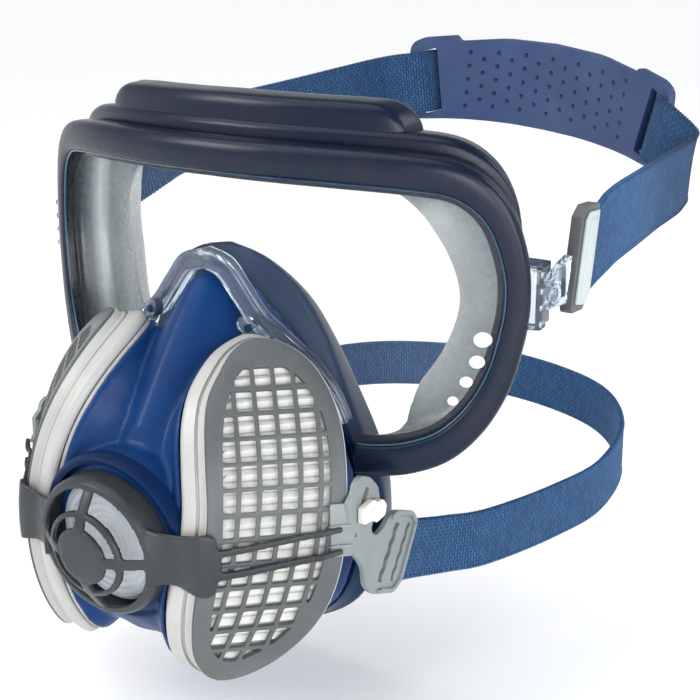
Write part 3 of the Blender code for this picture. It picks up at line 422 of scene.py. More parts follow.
def filter_paper():
    """Off-white pleated paper with fibres along the pleats, and painted shade in the pleat valleys and on
    its underside.
    """
    look = Look("filter_paper")
    fibres = look.noise(look.place(), 700.0, 6.0, 0.75)
    # Painted shade: the ramp over depth darkens the pleat valleys and the paper's underside.
    tone_and_painted_light = look.ramp(look.marks("depth"), (0.0, (0.42, 0.41, 0.39)), (0.22, (0.74, 0.735, 0.71)),
                     (1.0, (0.86, 0.855, 0.83)))
    speck = look.ramp(fibres, (0.35, (0.86, 0.86, 0.84)), (0.65, (1.0, 1.0, 1.0)))
    look.paint(look.multiplied(tone_and_painted_light, speck))
    look.bump(fibres, 0.4, 0.0003)
    look.set({"Roughness": 0.95})


# navy_frame: the browner second colour paints the frame's brownish sheen, scattered as blotches.
moulded("navy_frame", (0.002, 0.008, 0.026), (0.010, 0.013, 0.026), 0.27, grain=700, blotch=28,
        specular=0.26, wear=0.08)
moulded("navy_body", (0.003, 0.029, 0.118), (0.006, 0.042, 0.158), 0.34, grain=800, depth=0.08, blotch=30,
        specular=0.16, wear=0.05)
moulded("navy_soft", (0.002, 0.016, 0.050), (0.004, 0.026, 0.078), 0.34, grain=800, depth=0.05,
        specular=0.12)
# collar_navy: the body's navy made darker, painting the shadow in the band above the valve guard.
moulded("collar_navy", (0.002, 0.014, 0.060), (0.003, 0.020, 0.080), 0.40, depth=0.06, specular=0.12)
moulded("white_rim", (0.41, 0.415, 0.40), (0.47, 0.47, 0.45), 0.36, depth=0.10, wear=0.05)
moulded("grey_grille", (0.080, 0.090, 0.093), (0.104, 0.114, 0.117), 0.38, grain=1100, depth=0.22,
        specular=0.35)
moulded("dark_grille", (0.022, 0.026, 0.030), (0.036, 0.040, 0.045), 0.34, grain=1100, depth=0.22,
        specular=0.32)
moulded("seal_rubber", (0.03, 0.03, 0.035), (0.05, 0.05, 0.06), 0.60)
moulded("valve_silicone", (0.50, 0.56, 0.60), (0.62, 0.67, 0.71), 0.22, grain=400, depth=0.06, coat=0.4)
moulded("bracket_grey", (0.185, 0.212, 0.217), (0.225, 0.250, 0.254), 0.36, grain=1200, depth=0.18)
moulded("pin_white", (0.68, 0.67, 0.60), (0.74, 0.73, 0.67), 0.36, depth=0.08, coat=0.2)
moulded("plate_navy", (0.022, 0.046, 0.128), (0.030, 0.058, 0.150), 0.46, grain=900, depth=0.20,
        blotch=60, pitted=True)
moulded("buckle_dark", (0.075, 0.080, 0.085), (0.100, 0.105, 0.110), 0.40, grain=1200, depth=0.2)
moulded("buckle_pale", (0.42, 0.48, 0.48), (0.50, 0.55, 0.55), 0.26, depth=0.08, coat=0.2)
moulded("lens_rim", (0.001, 0.040, 0.085), (0.001, 0.080, 0.155), 0.18, blotch=90, depth=0.05, coat=0.5)
# lens_edge_shade: a near-black glossy ring that paints the shade and dark reflection along the lens's edge.
moulded("lens_edge_shade", (0.002, 0.006, 0.016), (0.003, 0.010, 0.024), 0.22, blotch=60, depth=0.0,
        specular=0.25)
clear_plastic("lens_clear", (0.50, 0.53, 0.56), 0.022, 0.02, 25.0)
glassy("clear_clip", (0.76, 0.87, 0.96), 0.06)
webbing()
skirt_silicone()
filter_paper()


# ---------------------------------------------------------------- goggles
LENS_RADIUS = 160.0
LENS_FRONT = -10.2
LENS_THICKNESS = 2.2
LENS_EDGE = ((0, 40.2), (40, 39.7), (66, 38.5), (79, 36), (87.5, 28), (92, 15), (93, 3), (91.5, -9),
             (88.5, -21), (83, -32), (75.5, -40), (66, -44.3), (57, -45.8), (51.4, -45.9))
NOTCH_EDGE = ((51.4, -45.9), (48.6, -37.5), (44.5, -28), (38, -19.5), (30, -13), (21, -6.3),
              (14.5, 1.5), (8, 8.8), (0, 11.4))
SKIRT_OPENING = ((0, 12, 38), (28, 14, 37.5), (48, 17.5, 33.5), (60, 20.5, 25), (68, 25, 10),
                 (69, 28, -3), (65, 26, -17), (57, 23, -31), (53.5, 22, -42), (53, 22, -47))
BROW_RISE = 5.75
LID_SECTION = ((9.6, -1.0), (9.8, 6.2), (11.4, 8.4), (20.5, 9.2), (22.6, 7.6), (23.0, -1.0))
LID_MIDDLE = 16.3
LID_REACH, LID_ROUNDING = 58.5, 10.0


def lens_y(x):
    return LENS_FRONT + LENS_RADIUS - math.sqrt(LENS_RADIUS ** 2 - x ** 2)


def on_lens(x, z, depth):
    """A point behind the lens's front face, along the lens's own radius."""
    inner = (LENS_RADIUS - depth) / LENS_RADIUS
    centre = LENS_FRONT + LENS_RADIUS
    return (x * inner, centre + (lens_y(x) - centre) * inner, z)


def frame_stations(count):
    """(point on the lens edge, outward, backward) from the left foot over the brow to the right foot."""
    half = smooth_path(LENS_EDGE, count)
    half[0][0] = 0.0
    route = [mirrored(p) for p in half[:0:-1]] + [tuple(p) for p in half]
    points = [Vector(on_lens(x, z, 0.0)) for x, z in route]
    stations = []
    for k, point in enumerate(points):
        along = (points[min(k + 1, len(points) - 1)] - points[max(k - 1, 0)]).normalized()
        back = Vector((-point.x, LENS_FRONT + LENS_RADIUS - point.y, 0.0)).normalized()
        out = back.cross(along).normalized()
        if out.dot(Vector((point.x, 0, point.z + 8))) < 0:
            out = -out
        stations.append((point, out, back))
    return stations


def rim_share(out):
    """The rim is widest over the brow and slimmest at the temples."""
    return 0.62 + 0.38 * abs(out.z) ** 1.5


def stood_up(station, section):
    """A cross-section of (outward, backward) points, placed at a station."""
    point, out, back = station[:3]
    return [point + out * n + back * b for n, b in section]


def mark(obj, name, values):
    """Store one number for each point, for the materials to read."""
    layer = obj.data.attributes.new(name, "FLOAT", "POINT")
    layer.data.foreach_set("value", np.array(values, dtype=np.float32))


# Cross-sections along the lens's edge hold (outward, backward).
FRAME_SECTION = ((-3.0, -0.3), (-3.0, -1.3), (-1.6, -2.1), (4.2, -2.6), (7.0, -0.8), (7.2, 6.2), (5.4, 7.6),
                 (5.4, 19.0), (3.6, 20.5), (1.2, 20.5), (1.2, 4.6), (-2.6, 4.4), (-2.6, 2.5), (0.3, 2.5),
                 (0.3, -0.3))
FRAME_CORNERS = (0.3, 0.5, 1.8, 3.0, 3.0, 2.0, 1.2, 2.0, 1.0, 0.4, 0.4, 0.4, 0.2, 0.2, 0.2)
FOOT_HALF, FOOT_RADIUS = 3.0, 2.7
CLIP_SECTION = ((-1.6, -0.5), (-1.6, -1.9), (1.5, -3.0), (4.4, -2.4), (5.0, 0.0), (4.4, 3.6),
                (-1.4, 3.6), (-1.4, 2.8), (0.5, 2.8), (0.5, -0.5))
BEAD_SECTION = [(-3.6, -0.1), (-3.6, -0.6), (-3.1, -0.9), (-3.1, -0.1)]
# The dark ring behind the lens's edge: painted shade and dark reflection there, not a part of the goggles.
EDGE_SHADE_SECTION = [(-0.9, 2.6), (-0.9, 4.4), (-3.2, 4.4), (-5.4, 3.4), (-5.4, 2.5)]


def make_lens():
    half = [tuple(p) for p in (*smooth_path(LENS_EDGE, 60), *smooth_path(NOTCH_EDGE, 46)[1:])]
    half[0] = (0.0, half[0][1])
    half[-1] = (0.0, half[-1][1])
    outline = half + [mirrored(p) for p in half[-2:0:-1]]
    lens = plate("clear_lens", outline, on_lens, LENS_THICKNESS, 0.0, spacing=6.0)
    finish(lens, "lens_clear", "mask", ["lens"])
    # The second ring is the painted shade and dark reflection along the lens's edge.
    for name, section, softness, look, slot in (("lens_bead", BEAD_SECTION, 0.15, "lens_rim", "lens_clear"),
                                                ("lens_edge_shade", EDGE_SHADE_SECTION, 0.4, "lens_edge_shade",
                                                 "seal_rubber")):
        ring = soft_corners(section, softness, 2)
        strip = loft(name, [stood_up(station, ring) for station in frame_stations(90)])
        finish(strip, look, "mask")


def make_goggle_frame():
    rings = []
    for station in frame_stations(100):
        share = rim_share(station[1])
        ring = soft_corners([(n * share if n > 2 else n, b) for n, b in FRAME_SECTION], FRAME_CORNERS)
        rings.append(stood_up(station, ring))
    finish(loft("goggle_rim", rings), "navy_frame", "mask", ["goggle_frame"], sharp=50)


def make_goggle_skirt():
    count = 70
    opening = smooth_path(SKIRT_OPENING, count)
    opening[0][0] = 0.0
    route = [Vector(mirrored(p)) for p in opening[:0:-1]] + [Vector(p) for p in opening]
    rings = []
    for station, lip in zip(frame_stations(count), route):
        outer = stood_up(station, ((0.9, 4.9), (0.9, 20.9), (3.4, 20.9), (3.2, 24.0)))
        inner = stood_up(station, ((-0.7, 15.0), (-0.7, 4.9)))
        crest = (outer[3] + lip) / 2 + Vector((0, 6.5, 0))
        fold = (inner[0] + lip) / 2 + Vector((0, 2.2, 0))
        roll = lip + (lip - crest).normalized() * 0.9 + Vector((0, 0.8, 0))
        raw = outer + [crest, lip + Vector((0, 1.6, 0)), roll, lip, fold] + inner
        ring = smooth_path(raw, 40, closed=True)
        rings.append([tuple(p) for p in ring])
    skirt = loft("goggle_seal", rings)
    # The depth mark carries the skirt's painted shade next to the lens and its painted highlight band.
    near = np.array([tuple(v.co) for v in skirt.data.vertices]) / MM
    gap = np.array([y + FACE_DEPTH - lens_y(min(abs(x), 120.0)) for x, y, _ in near])
    mark(skirt, "depth", np.clip(gap / 24.0, 0.0, 1.0))
    finish(skirt, "grey_skirt", "mask", ["goggle_skirt"], sharp=60)


def lid_ring(x, share):
    """A cross-section of the brow vent's lid, pulled in where its ends round off."""
    reach, heights = zip(*LENS_EDGE[:6])
    top = np.interp(abs(x), reach, heights) + BROW_RISE + 4.9
    narrow = 0.72 + 0.28 * share
    section = soft_corners(LID_SECTION, (0.3, 2.4, 3.0, 2.6, 2.4, 0.3), 4)
    return [(x, lens_y(x) + LID_MIDDLE + (y - LID_MIDDLE) * narrow, top + (z * share if z > 0 else z))
            for y, z in section]


def make_vent_base():
    rings = []
    stations = [k for k in frame_stations(130) if k[0].z > 20]
    for k, station in enumerate(stations):
        end = min(k, len(stations) - 1 - k) / 20
        share = 0.06 + 0.94 * math.sin(min(1.0, end) * math.pi / 2)
        rim, foot = 7.1 * rim_share(station[1]), 4.9 * rim_share(station[1])
        section = [(foot, 7.9), (rim + 3.2 * share, 8.0), (rim + 4.8 * share, 10.2),
                   (rim + 4.8 * share, 18.2), (rim + 3.6 * share, 19.6), (foot, 19.6)]
        ring = soft_corners(section, (0.1, 1.2 * share, 1.6 * share, 1.6 * share, 1.2 * share, 0.1), 3)
        rings.append(stood_up(station, ring))
    finish(loft("brow_vent_base", rings), "navy_frame", "mask", ["brow_vent_housing"], sharp=50)


def make_vent_lid():
    straight = LID_REACH - LID_ROUNDING
    ends = [(straight + LID_ROUNDING * math.sin(t), math.cos(t))
            for t in np.linspace(0, math.pi / 2 - 0.04, 14)]
    flat = [(x, 1.0) for x in np.linspace(2 - straight, straight - 2, 50)]
    stops = [(-x, share) for x, share in ends[::-1]] + flat + ends
    lid = loft("brow_vent_lid", [lid_ring(x, share) for x, share in stops])
    finish(lid, "navy_frame", "mask", ["brow_vent_cover"], sharp=50)


def notch_stations(count, skip):
    """(point, away from the glass, back, |x|) along the lens's nose notch."""
    route = smooth_path(NOTCH_EDGE, count)[skip:]
    path = [tuple(p) for p in route[:-1]] + [(0.0, route[-1][1])] + [mirrored(p) for p in route[-2::-1]]
    stations = []
    for k, (x, z) in enumerate(path):
        before, after = path[max(k - 1, 0)], path[min(k + 1, len(path) - 1)]
        along = Vector((after[0] - before[0], 0, after[1] - before[1])).normalized()
        point = Vector(on_lens(x, z, 0.0))
        back = Vector((-point.x, LENS_FRONT + LENS_RADIUS - point.y, 0.0)).normalized()
        stations.append((point, Vector((-along.z, 0, along.x)), back, abs(x)))
    return stations


def make_nose_clip():
    rings = []
    for station in notch_stations(70, 9):
        share = np.interp(station[3], (20, 34), (1.0, 0.5))
        ring = soft_corners([(n * share if n > 1 else n, b) for n, b in CLIP_SECTION], 0.7)
        rings.append(stood_up(station, ring))
    finish(loft("clear_nose_clip", rings), "clear_clip", "mask", ["nose_clip"])


def make_clip_stud(side, sign):
    """A stud of the nose clip, in the clear capsule that ends the clip."""
    foot = Vector(on_lens(19.4 * sign, -8.9, 0.0)) + Vector((0, -3.3, 0))
    axis = Vector((0.30 * sign, -1.0, 0.10))
    profile = ((-0.9, 1.1), (0.3, 1.2), (2.6, 1.2), (2.8, 1.0), (2.8, 0.4))
    core = turned(f"press_stud_{side}", profile, foot, axis, 28)
    finish(core, "navy_soft", "mask", [f"clip_stud_{side}"])
    capsule = [(math.copysign(FOOT_HALF, math.cos(t)) + FOOT_RADIUS * math.cos(t),
                FOOT_RADIUS * math.sin(t))
               for t in np.linspace(0.02, 2 * math.pi + 0.02, 44, endpoint=False)]
    across = Vector((0.73 * sign, 0.22, -0.68)).normalized()
    upright = axis.cross(across).normalized()

    def place(u, v, h):
        return tuple(foot + across * (u + 1.6) + upright * v + axis.normalized() * h)
    shell = plate(f"clip_foot_{side}", capsule, place, -0.6, 2.3, spacing=0.8)
    bevel(shell, 0.6, 3, 50)
    finish(shell, "clear_clip", "mask")


# ---------------------------------------------------------------- half mask
MASK_REAR = ((0, 2.6, 12.6), (13, 2.2, 9.8), (26, 4, 0.5), (34, 7, -14), (39.5, 10, -30), (43.5, 13, -44),
             (47.5, 16, -58), (49.5, 16.5, -70), (48.5, 17, -86), (39, 17, -104), (21, 17, -115),
             (0, 17, -118))
MASK_MIDDLE = ((0, -8.6, 5.6), (4.5, -8, 3.8), (10, -7.5, -2.5), (17, -6.5, -11), (25, -5.5, -18),
               (33, -4.5, -26), (39.5, -3.5, -38), (43.5, -3, -54), (44, -3, -72), (37.5, -5, -98),
               (20, -8, -110), (0, -10, -113))
MASK_CHEEK = ((0, -14.5, 3.4), (4, -15, 1), (9, -15.5, -6), (15, -16.5, -14.5), (21.5, -17.5, -23),
              (27, -18.5, -35), (30, -20, -50), (30, -22, -66), (28, -25, -84), (20, -28, -99),
              (9, -31, -106), (0, -32, -107))
MASK_RIDGE = ((0, -27, -12), (4, -27.5, -15), (8, -29, -21), (11, -31, -29), (14, -33, -38),
              (17, -36, -48), (19, -39, -60), (19, -41, -72), (17, -43, -84), (12, -44.5, -94),
              (6, -45.5, -100), (0, -46, -101))
MASK_NOSE = ((0, -43, -36), (3, -43.5, -39), (6, -44.5, -44), (8.5, -46, -50), (10, -47.5, -56),
             (11, -49, -63), (11, -50, -70), (10.5, -50.5, -77), (9, -50.5, -84), (6, -50, -90),
             (3, -49.5, -94), (0, -49, -95))
CUSHION_LIP = ((0, 14, -3), (9, 14.5, -7), (17, 16, -15), (24, 19, -27), (30, 23, -40), (34, 26.5, -52),
               (36, 28, -66), (34, 29, -82), (27, 29, -95), (15, 28, -103), (0, 27.5, -106))
CHIN_PROFILE = ((-34, 10), (-29, 14.5), (-20, 17.6), (-10, 18.3), (10, 18.3), (20, 17.6), (29, 14.5),
                (34, 10))
COLLAR_PROFILE = ((-30, 17), (-25, 22.5), (-20, 25.2), (-15, 26.2), (-11.5, 25.4), (-9.6, 23.4),
                  (-8.8, 20.6))
MASK_COUNT = 48
MASK_WALL = 2.6
SEAT_TOP = -10.2
SEAT_DEPTH = 13.9
SEAT_REACH = 27.0

RIM_BASE = ((0.5, 61.5), (9.5, 56), (16.3, 48), (20.4, 38), (22.6, 27), (23.3, 16), (22.8, 2),
            (21.5, -13), (18.4, -27), (12.8, -40), (3, -52.5), (-7, -60.5), (-17, -63),
            (-25, -58), (-29, -47), (-29.8, -34), (-28.4, -22), (-25.8, -11), (-24.2, 2),
            (-23.8, 16), (-23, 29), (-20.6, 39.5), (-16.5, 48), (-11.5, 55), (-5, 60))
PORT_CENTRE = (-1.0, 0.0)


class FilterFrame:
    """Where a filter lies: w runs back across it, a runs up along its bend, h stands proud."""

    def __init__(self, side):
        self.side = side
        self.width = Vector((0.677, 0.736, 0.0)).normalized()
        level = Vector((self.width.y, -self.width.x, 0.0))
        top = Vector((28.8, -22.3, -8.4))
        bottom = top + level * 19.3 - Vector((0, 0, 99.0))
        chord = top - bottom
        self.up = chord.normalized()
        self.out = (level - self.up * level.dot(self.up)).normalized()
        self.radius = ((chord.length / 2) ** 2 + 18.0 ** 2) / 36.0
        self.centre = (top + bottom) / 2 + self.out * (18.0 - self.radius)

    def place(self, w, a, h):
        angle = a / self.radius
        radial = self.out * math.cos(angle) + self.up * math.sin(angle)
        point = self.centre + radial * (self.radius + h) + self.width * w
        return (point.x * self.side, point.y, point.z)


VALVE_CENTRE = (0.0, -62.4, -68.8)
CHIN_CENTRE = (0.0, -35.3, -85.2)
VALVE_TILT = math.radians(5)
VALVE_AXIS = Vector((0.0, -math.cos(VALVE_TILT), -math.sin(VALVE_TILT)))
VALVE_UP = Vector((0.0, -math.sin(VALVE_TILT), math.cos(VALVE_TILT)))


def valve_place(x, y, height):
    return tuple(Vector(VALVE_CENTRE) + VALVE_AXIS * height + Vector((x, 0, 0)) + VALVE_UP * y)


def between_rings(rings, steps):
    """Add rings between the given ones on smooth curves through their points."""
    rings = np.array(rings)
    columns = [smooth_path(rings[:, k], steps) for k in range(rings.shape[1])]
    return np.stack(columns, axis=1)


def seat_form(side, frame_of):
    """A solid bowl under a filter, narrowing inwards and leaning to the nose."""
    def place(w, a, h):
        share = min(1.0, (h + SEAT_REACH) / (SEAT_REACH - SEAT_DEPTH))
        share = math.sin(share * math.pi / 2)
        low = (w * 0.80 - 9.5, a * 0.82)
        return frame_of.place(low[0] + (w - low[0]) * share, low[1] + (a - low[1]) * share, h)
    outline = offset(smooth_path(RIM_BASE, 70, closed=True), 1.7)
    points, triangles = sheet_plan(outline, [], 7.0)
    rings = [[place(w, a, h) for w, a in outline] for h in np.linspace(-SEAT_REACH, SEAT_TOP, 12)]
    top = [place(w, a, SEAT_TOP) for w, a in points]
    low = [place(w, a, -SEAT_REACH) for w, a in points]
    size, rows = len(outline), len(rings)
    vertices = [p for ring in rings for p in ring] + top + low
    start = size * rows
    faces = [(r * size + i, r * size + (i + 1) % size, (r + 1) * size + (i + 1) % size, (r + 1) * size + i)
             for r in range(rows - 1) for i in range(size)]
    faces += [tuple(start + k for k in t) for t in triangles]
    faces += [tuple(start + len(points) + k for k in reversed(t)) for t in triangles]
    return new_object(f"seat_form_{side}", vertices, faces)


def mask_outside(rings):
    """The body with its filter seats, strap posts, valve collar and chin, melted into one skin."""
    body = loft("half_mask_body", between_rings(rings, 40))
    for side, sign in SIDES:
        frame_of = FilterFrame(sign)
        boolean(body, seat_form(side, frame_of), "UNION")
        post = turned(f"post_{side}", ((0, 4.4), (16, 3.2), (20.0, 2.7)), (42.0 * sign, -11.5, -58.0),
                      (sign, -0.06, 0.03), 24)
        boolean(body, post, "UNION")
    boolean(body, turned("collar", COLLAR_PROFILE, VALVE_CENTRE, VALVE_AXIS, 64), "UNION")
    added = turned("chin", CHIN_PROFILE, CHIN_CENTRE, (1, 0, 0), 48)
    together = bmesh.new()
    together.from_mesh(body.data)
    together.from_mesh(added.data)
    together.to_mesh(body.data)
    together.free()
    bpy.data.objects.remove(added, do_unlink=True)
    return melt(body, 0.9, 14)


def hollow_form(rings):
    """The space inside the body: its rings drawn in by the wall."""
    hollow = [r.copy() for r in rings]
    for k, ring in enumerate(hollow):
        flat = offset(ring[:, [0, 2]], -MASK_WALL - (1.0 if k == 0 else 0.0))
        ring[:, 0], ring[:, 2] = flat[:, 0], flat[:, 1]
        ring[:, 1] += (MASK_WALL, 1.6, 0.0, 0.0, 0.0)[k]
    hollow.append(hollow[-1] + np.array((0, 14.0, 0)))
    return loft("hollow", hollow)


def make_half_mask():
    rings = [full_ring(r, MASK_COUNT) for r in (MASK_NOSE, MASK_RIDGE, MASK_CHEEK, MASK_MIDDLE)]
    rings.append((rings[-1] + full_ring(MASK_REAR, MASK_COUNT)) / 2)
    body = mask_outside(rings)
    boolean(body, hollow_form(rings), "DIFFERENCE")
    for _, sign in SIDES:
        frame_of = FilterFrame(sign)
        base = offset(smooth_path(RIM_BASE, 70, closed=True), 0.5)
        room = plate("room", base, frame_of.place, -SEAT_DEPTH + 0.02, -2.0, spacing=7.0)
        boolean(body, room, "DIFFERENCE")
        start = frame_of.place(*PORT_CENTRE, -SEAT_DEPTH + 4)
        normal = Vector((frame_of.out.x * sign, frame_of.out.y, frame_of.out.z))
        boolean(body, turned("port", ((0, 13.0), (-26, 13.0)), start, normal, 48), "DIFFERENCE")
    bore = turned("bore", ((4, 15.2), (-24, 15.2)), VALVE_CENTRE, VALVE_AXIS, 48)
    boolean(body, bore, "DIFFERENCE", "MANIFOLD")
    finish(body, "navy_body", "mask", ["half_mask_shell"], sharp=50)


def make_face_seal():
    rear, middle, lip = (full_ring(r, MASK_COUNT) for r in (MASK_REAR, MASK_MIDDLE, CUSHION_LIP))
    start = (middle + rear) / 2 + (rear - middle) * 0.02
    crest = (rear + lip) / 2
    crest[:, 1] += 7.0

    def inner(ring, distance, back=0.0):
        flat = offset(ring[:, [0, 2]], distance)
        return np.stack([flat[:, 0], ring[:, 1] + back, flat[:, 1]], -1)
    outer_side = between_rings([start, (start + rear) / 2, rear, crest, lip], 22)
    inner_side = between_rings([inner(lip, 0.6, -1.9), inner(crest, -0.6, -2.2), inner(rear, -2.4, -1.0),
                                inner((start + rear) / 2, -2.4), inner(start, -2.4)], 18)
    seal = loft("mask_seal", np.concatenate([outer_side, inner_side]), wrap=True)
    finish(seal, "navy_soft", "mask", ["half_mask_seal"], sharp=60)


# ---------------------------------------------------------------- filters
GRILLE_EDGE = ((2.5, 54.3), (9.5, 51.5), (15.5, 45.4), (19.5, 37.2), (22, 27), (22.7, 16), (22.2, 2),
               (20.8, -13), (17.5, -26.5), (11.5, -38), (2, -49), (-7, -55.3), (-14, -56.8),
               (-19, -53), (-22.2, -44.5), (-22.8, -34), (-21.6, -22), (-19, -10), (-17.5, 2),
               (-17.2, 16), (-16.5, 28), (-14.8, 36), (-11, 43.3), (-7, 49.8), (-2.5, 53.6))
GRILLE_WINDOW = ((-0.5, 46.4), (6, 45.3), (12, 40.4), (16, 33), (18.2, 24), (18.4, 10), (17.2, -3),
                 (15, -15.5), (11.3, -27), (5, -37.4), (-3, -44.6), (-11, -48), (-16, -45),
                 (-18, -37.5), (-16.8, -26), (-14.7, -15), (-13.6, -4), (-12.8, 10), (-12, 23),
                 (-10.4, 32), (-6.3, 42))
RIM_DEPTH = 9.0
BASE_THICKNESS = 2.3
COLUMN_PITCH = 5.95
ROW_PITCH = 7.3
BAR = 1.22
PLEAT = 3.6


def grille_shift(a):
    """The grille's bars lean with its outline."""
    return 2.6 - 0.0029 * max(0.0, 20 - a) ** 2


def polygon_area(points):
    points = np.array(points)
    ahead = np.roll(points, -1, axis=0)
    return abs(np.sum(points[:, 0] * ahead[:, 1] - ahead[:, 0] * points[:, 1])) / 2


def clipped(window, corners):
    """The part of the window outline that lies inside a convex cell."""
    kept = [np.array(p, float) for p in window]
    middle = np.mean(corners, axis=0)
    for start, end in zip(corners, [*corners[1:], corners[0]]):
        start, edge = np.array(start), np.array(end) - np.array(start)
        normal = np.array((-edge[1], edge[0]))
        if normal @ (middle - start) < 0:
            normal = -normal
        found = []
        for a, b in zip(kept, kept[1:] + kept[:1]):
            da, db = normal @ (a - start), normal @ (b - start)
            if da >= 0:
                found.append(a)
            if (da >= 0) != (db >= 0):
                found.append(a + (b - a) * da / (da - db))
        kept = found
        if not kept:
            return []
    return [p for k, p in enumerate(kept) if np.linalg.norm(p - kept[k - 1]) > 0.02]


def grille_holes():
    window = smooth_path(GRILLE_WINDOW, 90, closed=True)
    holes = []
    for row in range(13):
        a0 = 41.4 - row * ROW_PITCH + (ROW_PITCH - BAR) / 2
        a1 = a0 - ROW_PITCH + BAR
        for column in range(6):
            w0 = -13.4 + column * COLUMN_PITCH - (COLUMN_PITCH - BAR) / 2
            w1 = w0 + COLUMN_PITCH - BAR
            corners = [(w + grille_shift(a), a) for w, a in ((w0, a0), (w1, a0), (w1, a1), (w0, a1))]
            kept = clipped(window, corners)
            if len(kept) > 2 and polygon_area(kept) > 1.6:
                holes.append(soft_corners(kept, 0.6, 3))
    return holes


def make_filter_front(side, frame_of):
    """The grille and the stepped rim that holds it."""
    edge = smooth_path(GRILLE_EDGE, 110, closed=True)
    base = smooth_path(RIM_BASE, 110, closed=True)
    grille = plate(f"grille_{side}", edge, frame_of.place, -1.3, 0.0, holes=grille_holes())
    bevel(grille, 0.22, 2)
    finish(grille, "grey_grille", "mask", [f"filter_grille_{side}"], sharp=60)
    step = edge + (base - edge) * 0.45
    levels = [(offset(edge, -3.4), -1.6), (offset(edge, 0.28), -1.6), (offset(edge, 0.30), -0.75),
              (offset(edge, 0.58), -0.75), (offset(edge, 0.6), -2.8)]
    levels += [(edge + (step - edge) * share, h)
               for share, h in ((0.50, -3.3), (0.66, -3.5), (0.70, -4.9), (0.92, -5.0))]
    levels += [(step, -4.0)]
    levels += [(step + (base - step) * share, h)
               for share, h in ((0.1, -4.2), (0.35, -5.0), (0.72, -5.6), (0.93, -6.5))]
    levels += [(base, -7.6), (base, -8.6), (offset(base, -0.4), -9.0), (offset(base, -3.2), -9.0)]
    rings = [[frame_of.place(w, a, h) for w, a in ring] for ring, h in levels]
    rim = loft(f"filter_rim_form_{side}", rings, wrap=True)
    finish(rim, "white_rim", "mask", [f"filter_rim_{side}"], sharp=50)


def fold_share(a):
    """How far down a pleat lies at a, from 0 on its ridge to 1 in its valley."""
    return abs((a / PLEAT) % 1.0 - 0.5) * 2.0


def make_filter_media(side, frame_of):
    bed = offset(smooth_path(GRILLE_EDGE, 70, closed=True), -3.9)

    def pleated(w, a, h):
        return frame_of.place(w, a, h - 1.3 * fold_share(a) if h > -5 else h)
    media = plate(f"pleats_{side}", bed, pleated, -8.8, -1.75, spacing=(3.0, PLEAT / 4))
    # depth is 1 on pleat ridges and 0 in the valleys and underneath; filter_paper paints shade from it.
    heights = np.array([fold_share(a) for _, a in PLANS[media.name]])
    mark(media, "depth", np.concatenate([1.0 - heights, np.zeros(len(heights))]))
    finish(media, "filter_paper", "mask", [f"filter_media_{side}"], sharp=20)


def make_filter_back(side, frame_of):
    """The tray behind the paper and the gasket around its port."""
    back = offset(smooth_path(RIM_BASE, 90, closed=True), -0.2)
    low = -RIM_DEPTH - 0.3 - BASE_THICKNESS
    tray = plate(f"filter_tray_{side}", back, frame_of.place, low, -RIM_DEPTH - 0.3,
                 holes=[circle(12.0, 40, PORT_CENTRE)], spacing=6.0)
    bevel(tray, 0.4)
    finish(tray, "white_rim", "mask", [f"filter_base_{side}"])
    ring = plate(f"port_gasket_{side}", circle(17.0, 56, PORT_CENTRE), frame_of.place, -SEAT_DEPTH + 0.6,
                 low - 0.7, holes=[circle(13.6, 56, PORT_CENTRE)])
    bevel(ring, 0.4)
    finish(ring, "seal_rubber", "mask", [f"filter_gasket_{side}"])


def make_filter(side, sign):
    frame_of = FilterFrame(sign)
    make_filter_front(side, frame_of)
    make_filter_media(side, frame_of)
    make_filter_back(side, frame_of)


SPOKE_STEPS = 16


def spoke_holes(inner, outer, spoke, centre=(0.0, 0.0)):
    """Four openings between two radii, left apart by spokes of a width."""
    holes = []
    for quarter in range(4):
        points = []
        for radius, forward in ((outer, True), (inner, False)):
            clear = math.asin(min(0.9, spoke / 2 / radius))
            sweep = np.linspace(clear, math.pi / 2 - clear, SPOKE_STEPS + 1) + quarter * math.pi / 2
            for angle in sweep if forward else sweep[::-1]:
                points.append((centre[0] + radius * math.cos(angle), centre[1] + radius * math.sin(angle)))
        holes.append(points)
    return holes


def make_inhalation_valve(side, sign):
    frame_of = FilterFrame(sign)
    holes = spoke_holes(2.5, 10.6, 1.8, centre=PORT_CENTRE)
    seat = plate(f"valve_seat_{side}", circle(12.6, 48, PORT_CENTRE), frame_of.place,
                 -SEAT_DEPTH - 3.4, -SEAT_DEPTH - 1.8, holes=holes)
    bevel(seat, 0.3)
    finish(seat, "seal_rubber", "mask", [f"inhalation_seat_{side}"])
    flap = plate(f"valve_flap_{side}", circle(11.6, 48, PORT_CENTRE), frame_of.place,
                 -SEAT_DEPTH - 4.4, -SEAT_DEPTH - 3.7, spacing=4.0)
    bevel(flap, 0.2)
    finish(flap, "valve_silicone", f"inhalation_flap_{side}", [f"inhalation_flap_{side}"])


# ---------------------------------------------------------------- exhalation valve and harness yoke
VALVE_FACE = 20.6
VALVE_SKIRT = 22.0
GUARD_STRETCH = 1.08
VALVE_DISC = 8.0
VALVE_DOME = 6.4


def make_exhalation_valve():
    seat = plate("exhalation_grid", circle(19.4, 72), valve_place, -8.4, -6.7,
                 holes=spoke_holes(3.2, 13.8, 2.4))
    bevel(seat, 0.3)
    finish(seat, "valve_silicone", "mask", ["exhalation_seat"])
    profile = [(-6.3, 17.9), (-6.1, 18.4), (-5.75, 18.2)]
    for radius in np.arange(17.7, 0.6, -0.35):
        profile.append((-5.68 + 0.09 * math.cos(radius * 2 * math.pi / 2.1), radius))
    profile += [(-5.6, 0.6), (-5.6, 0.2)]
    flap = turned("exhalation_disc", profile, VALVE_CENTRE, VALVE_AXIS, 96)
    finish(flap, "valve_silicone", "exhalation_flap", ["exhalation_flap"])


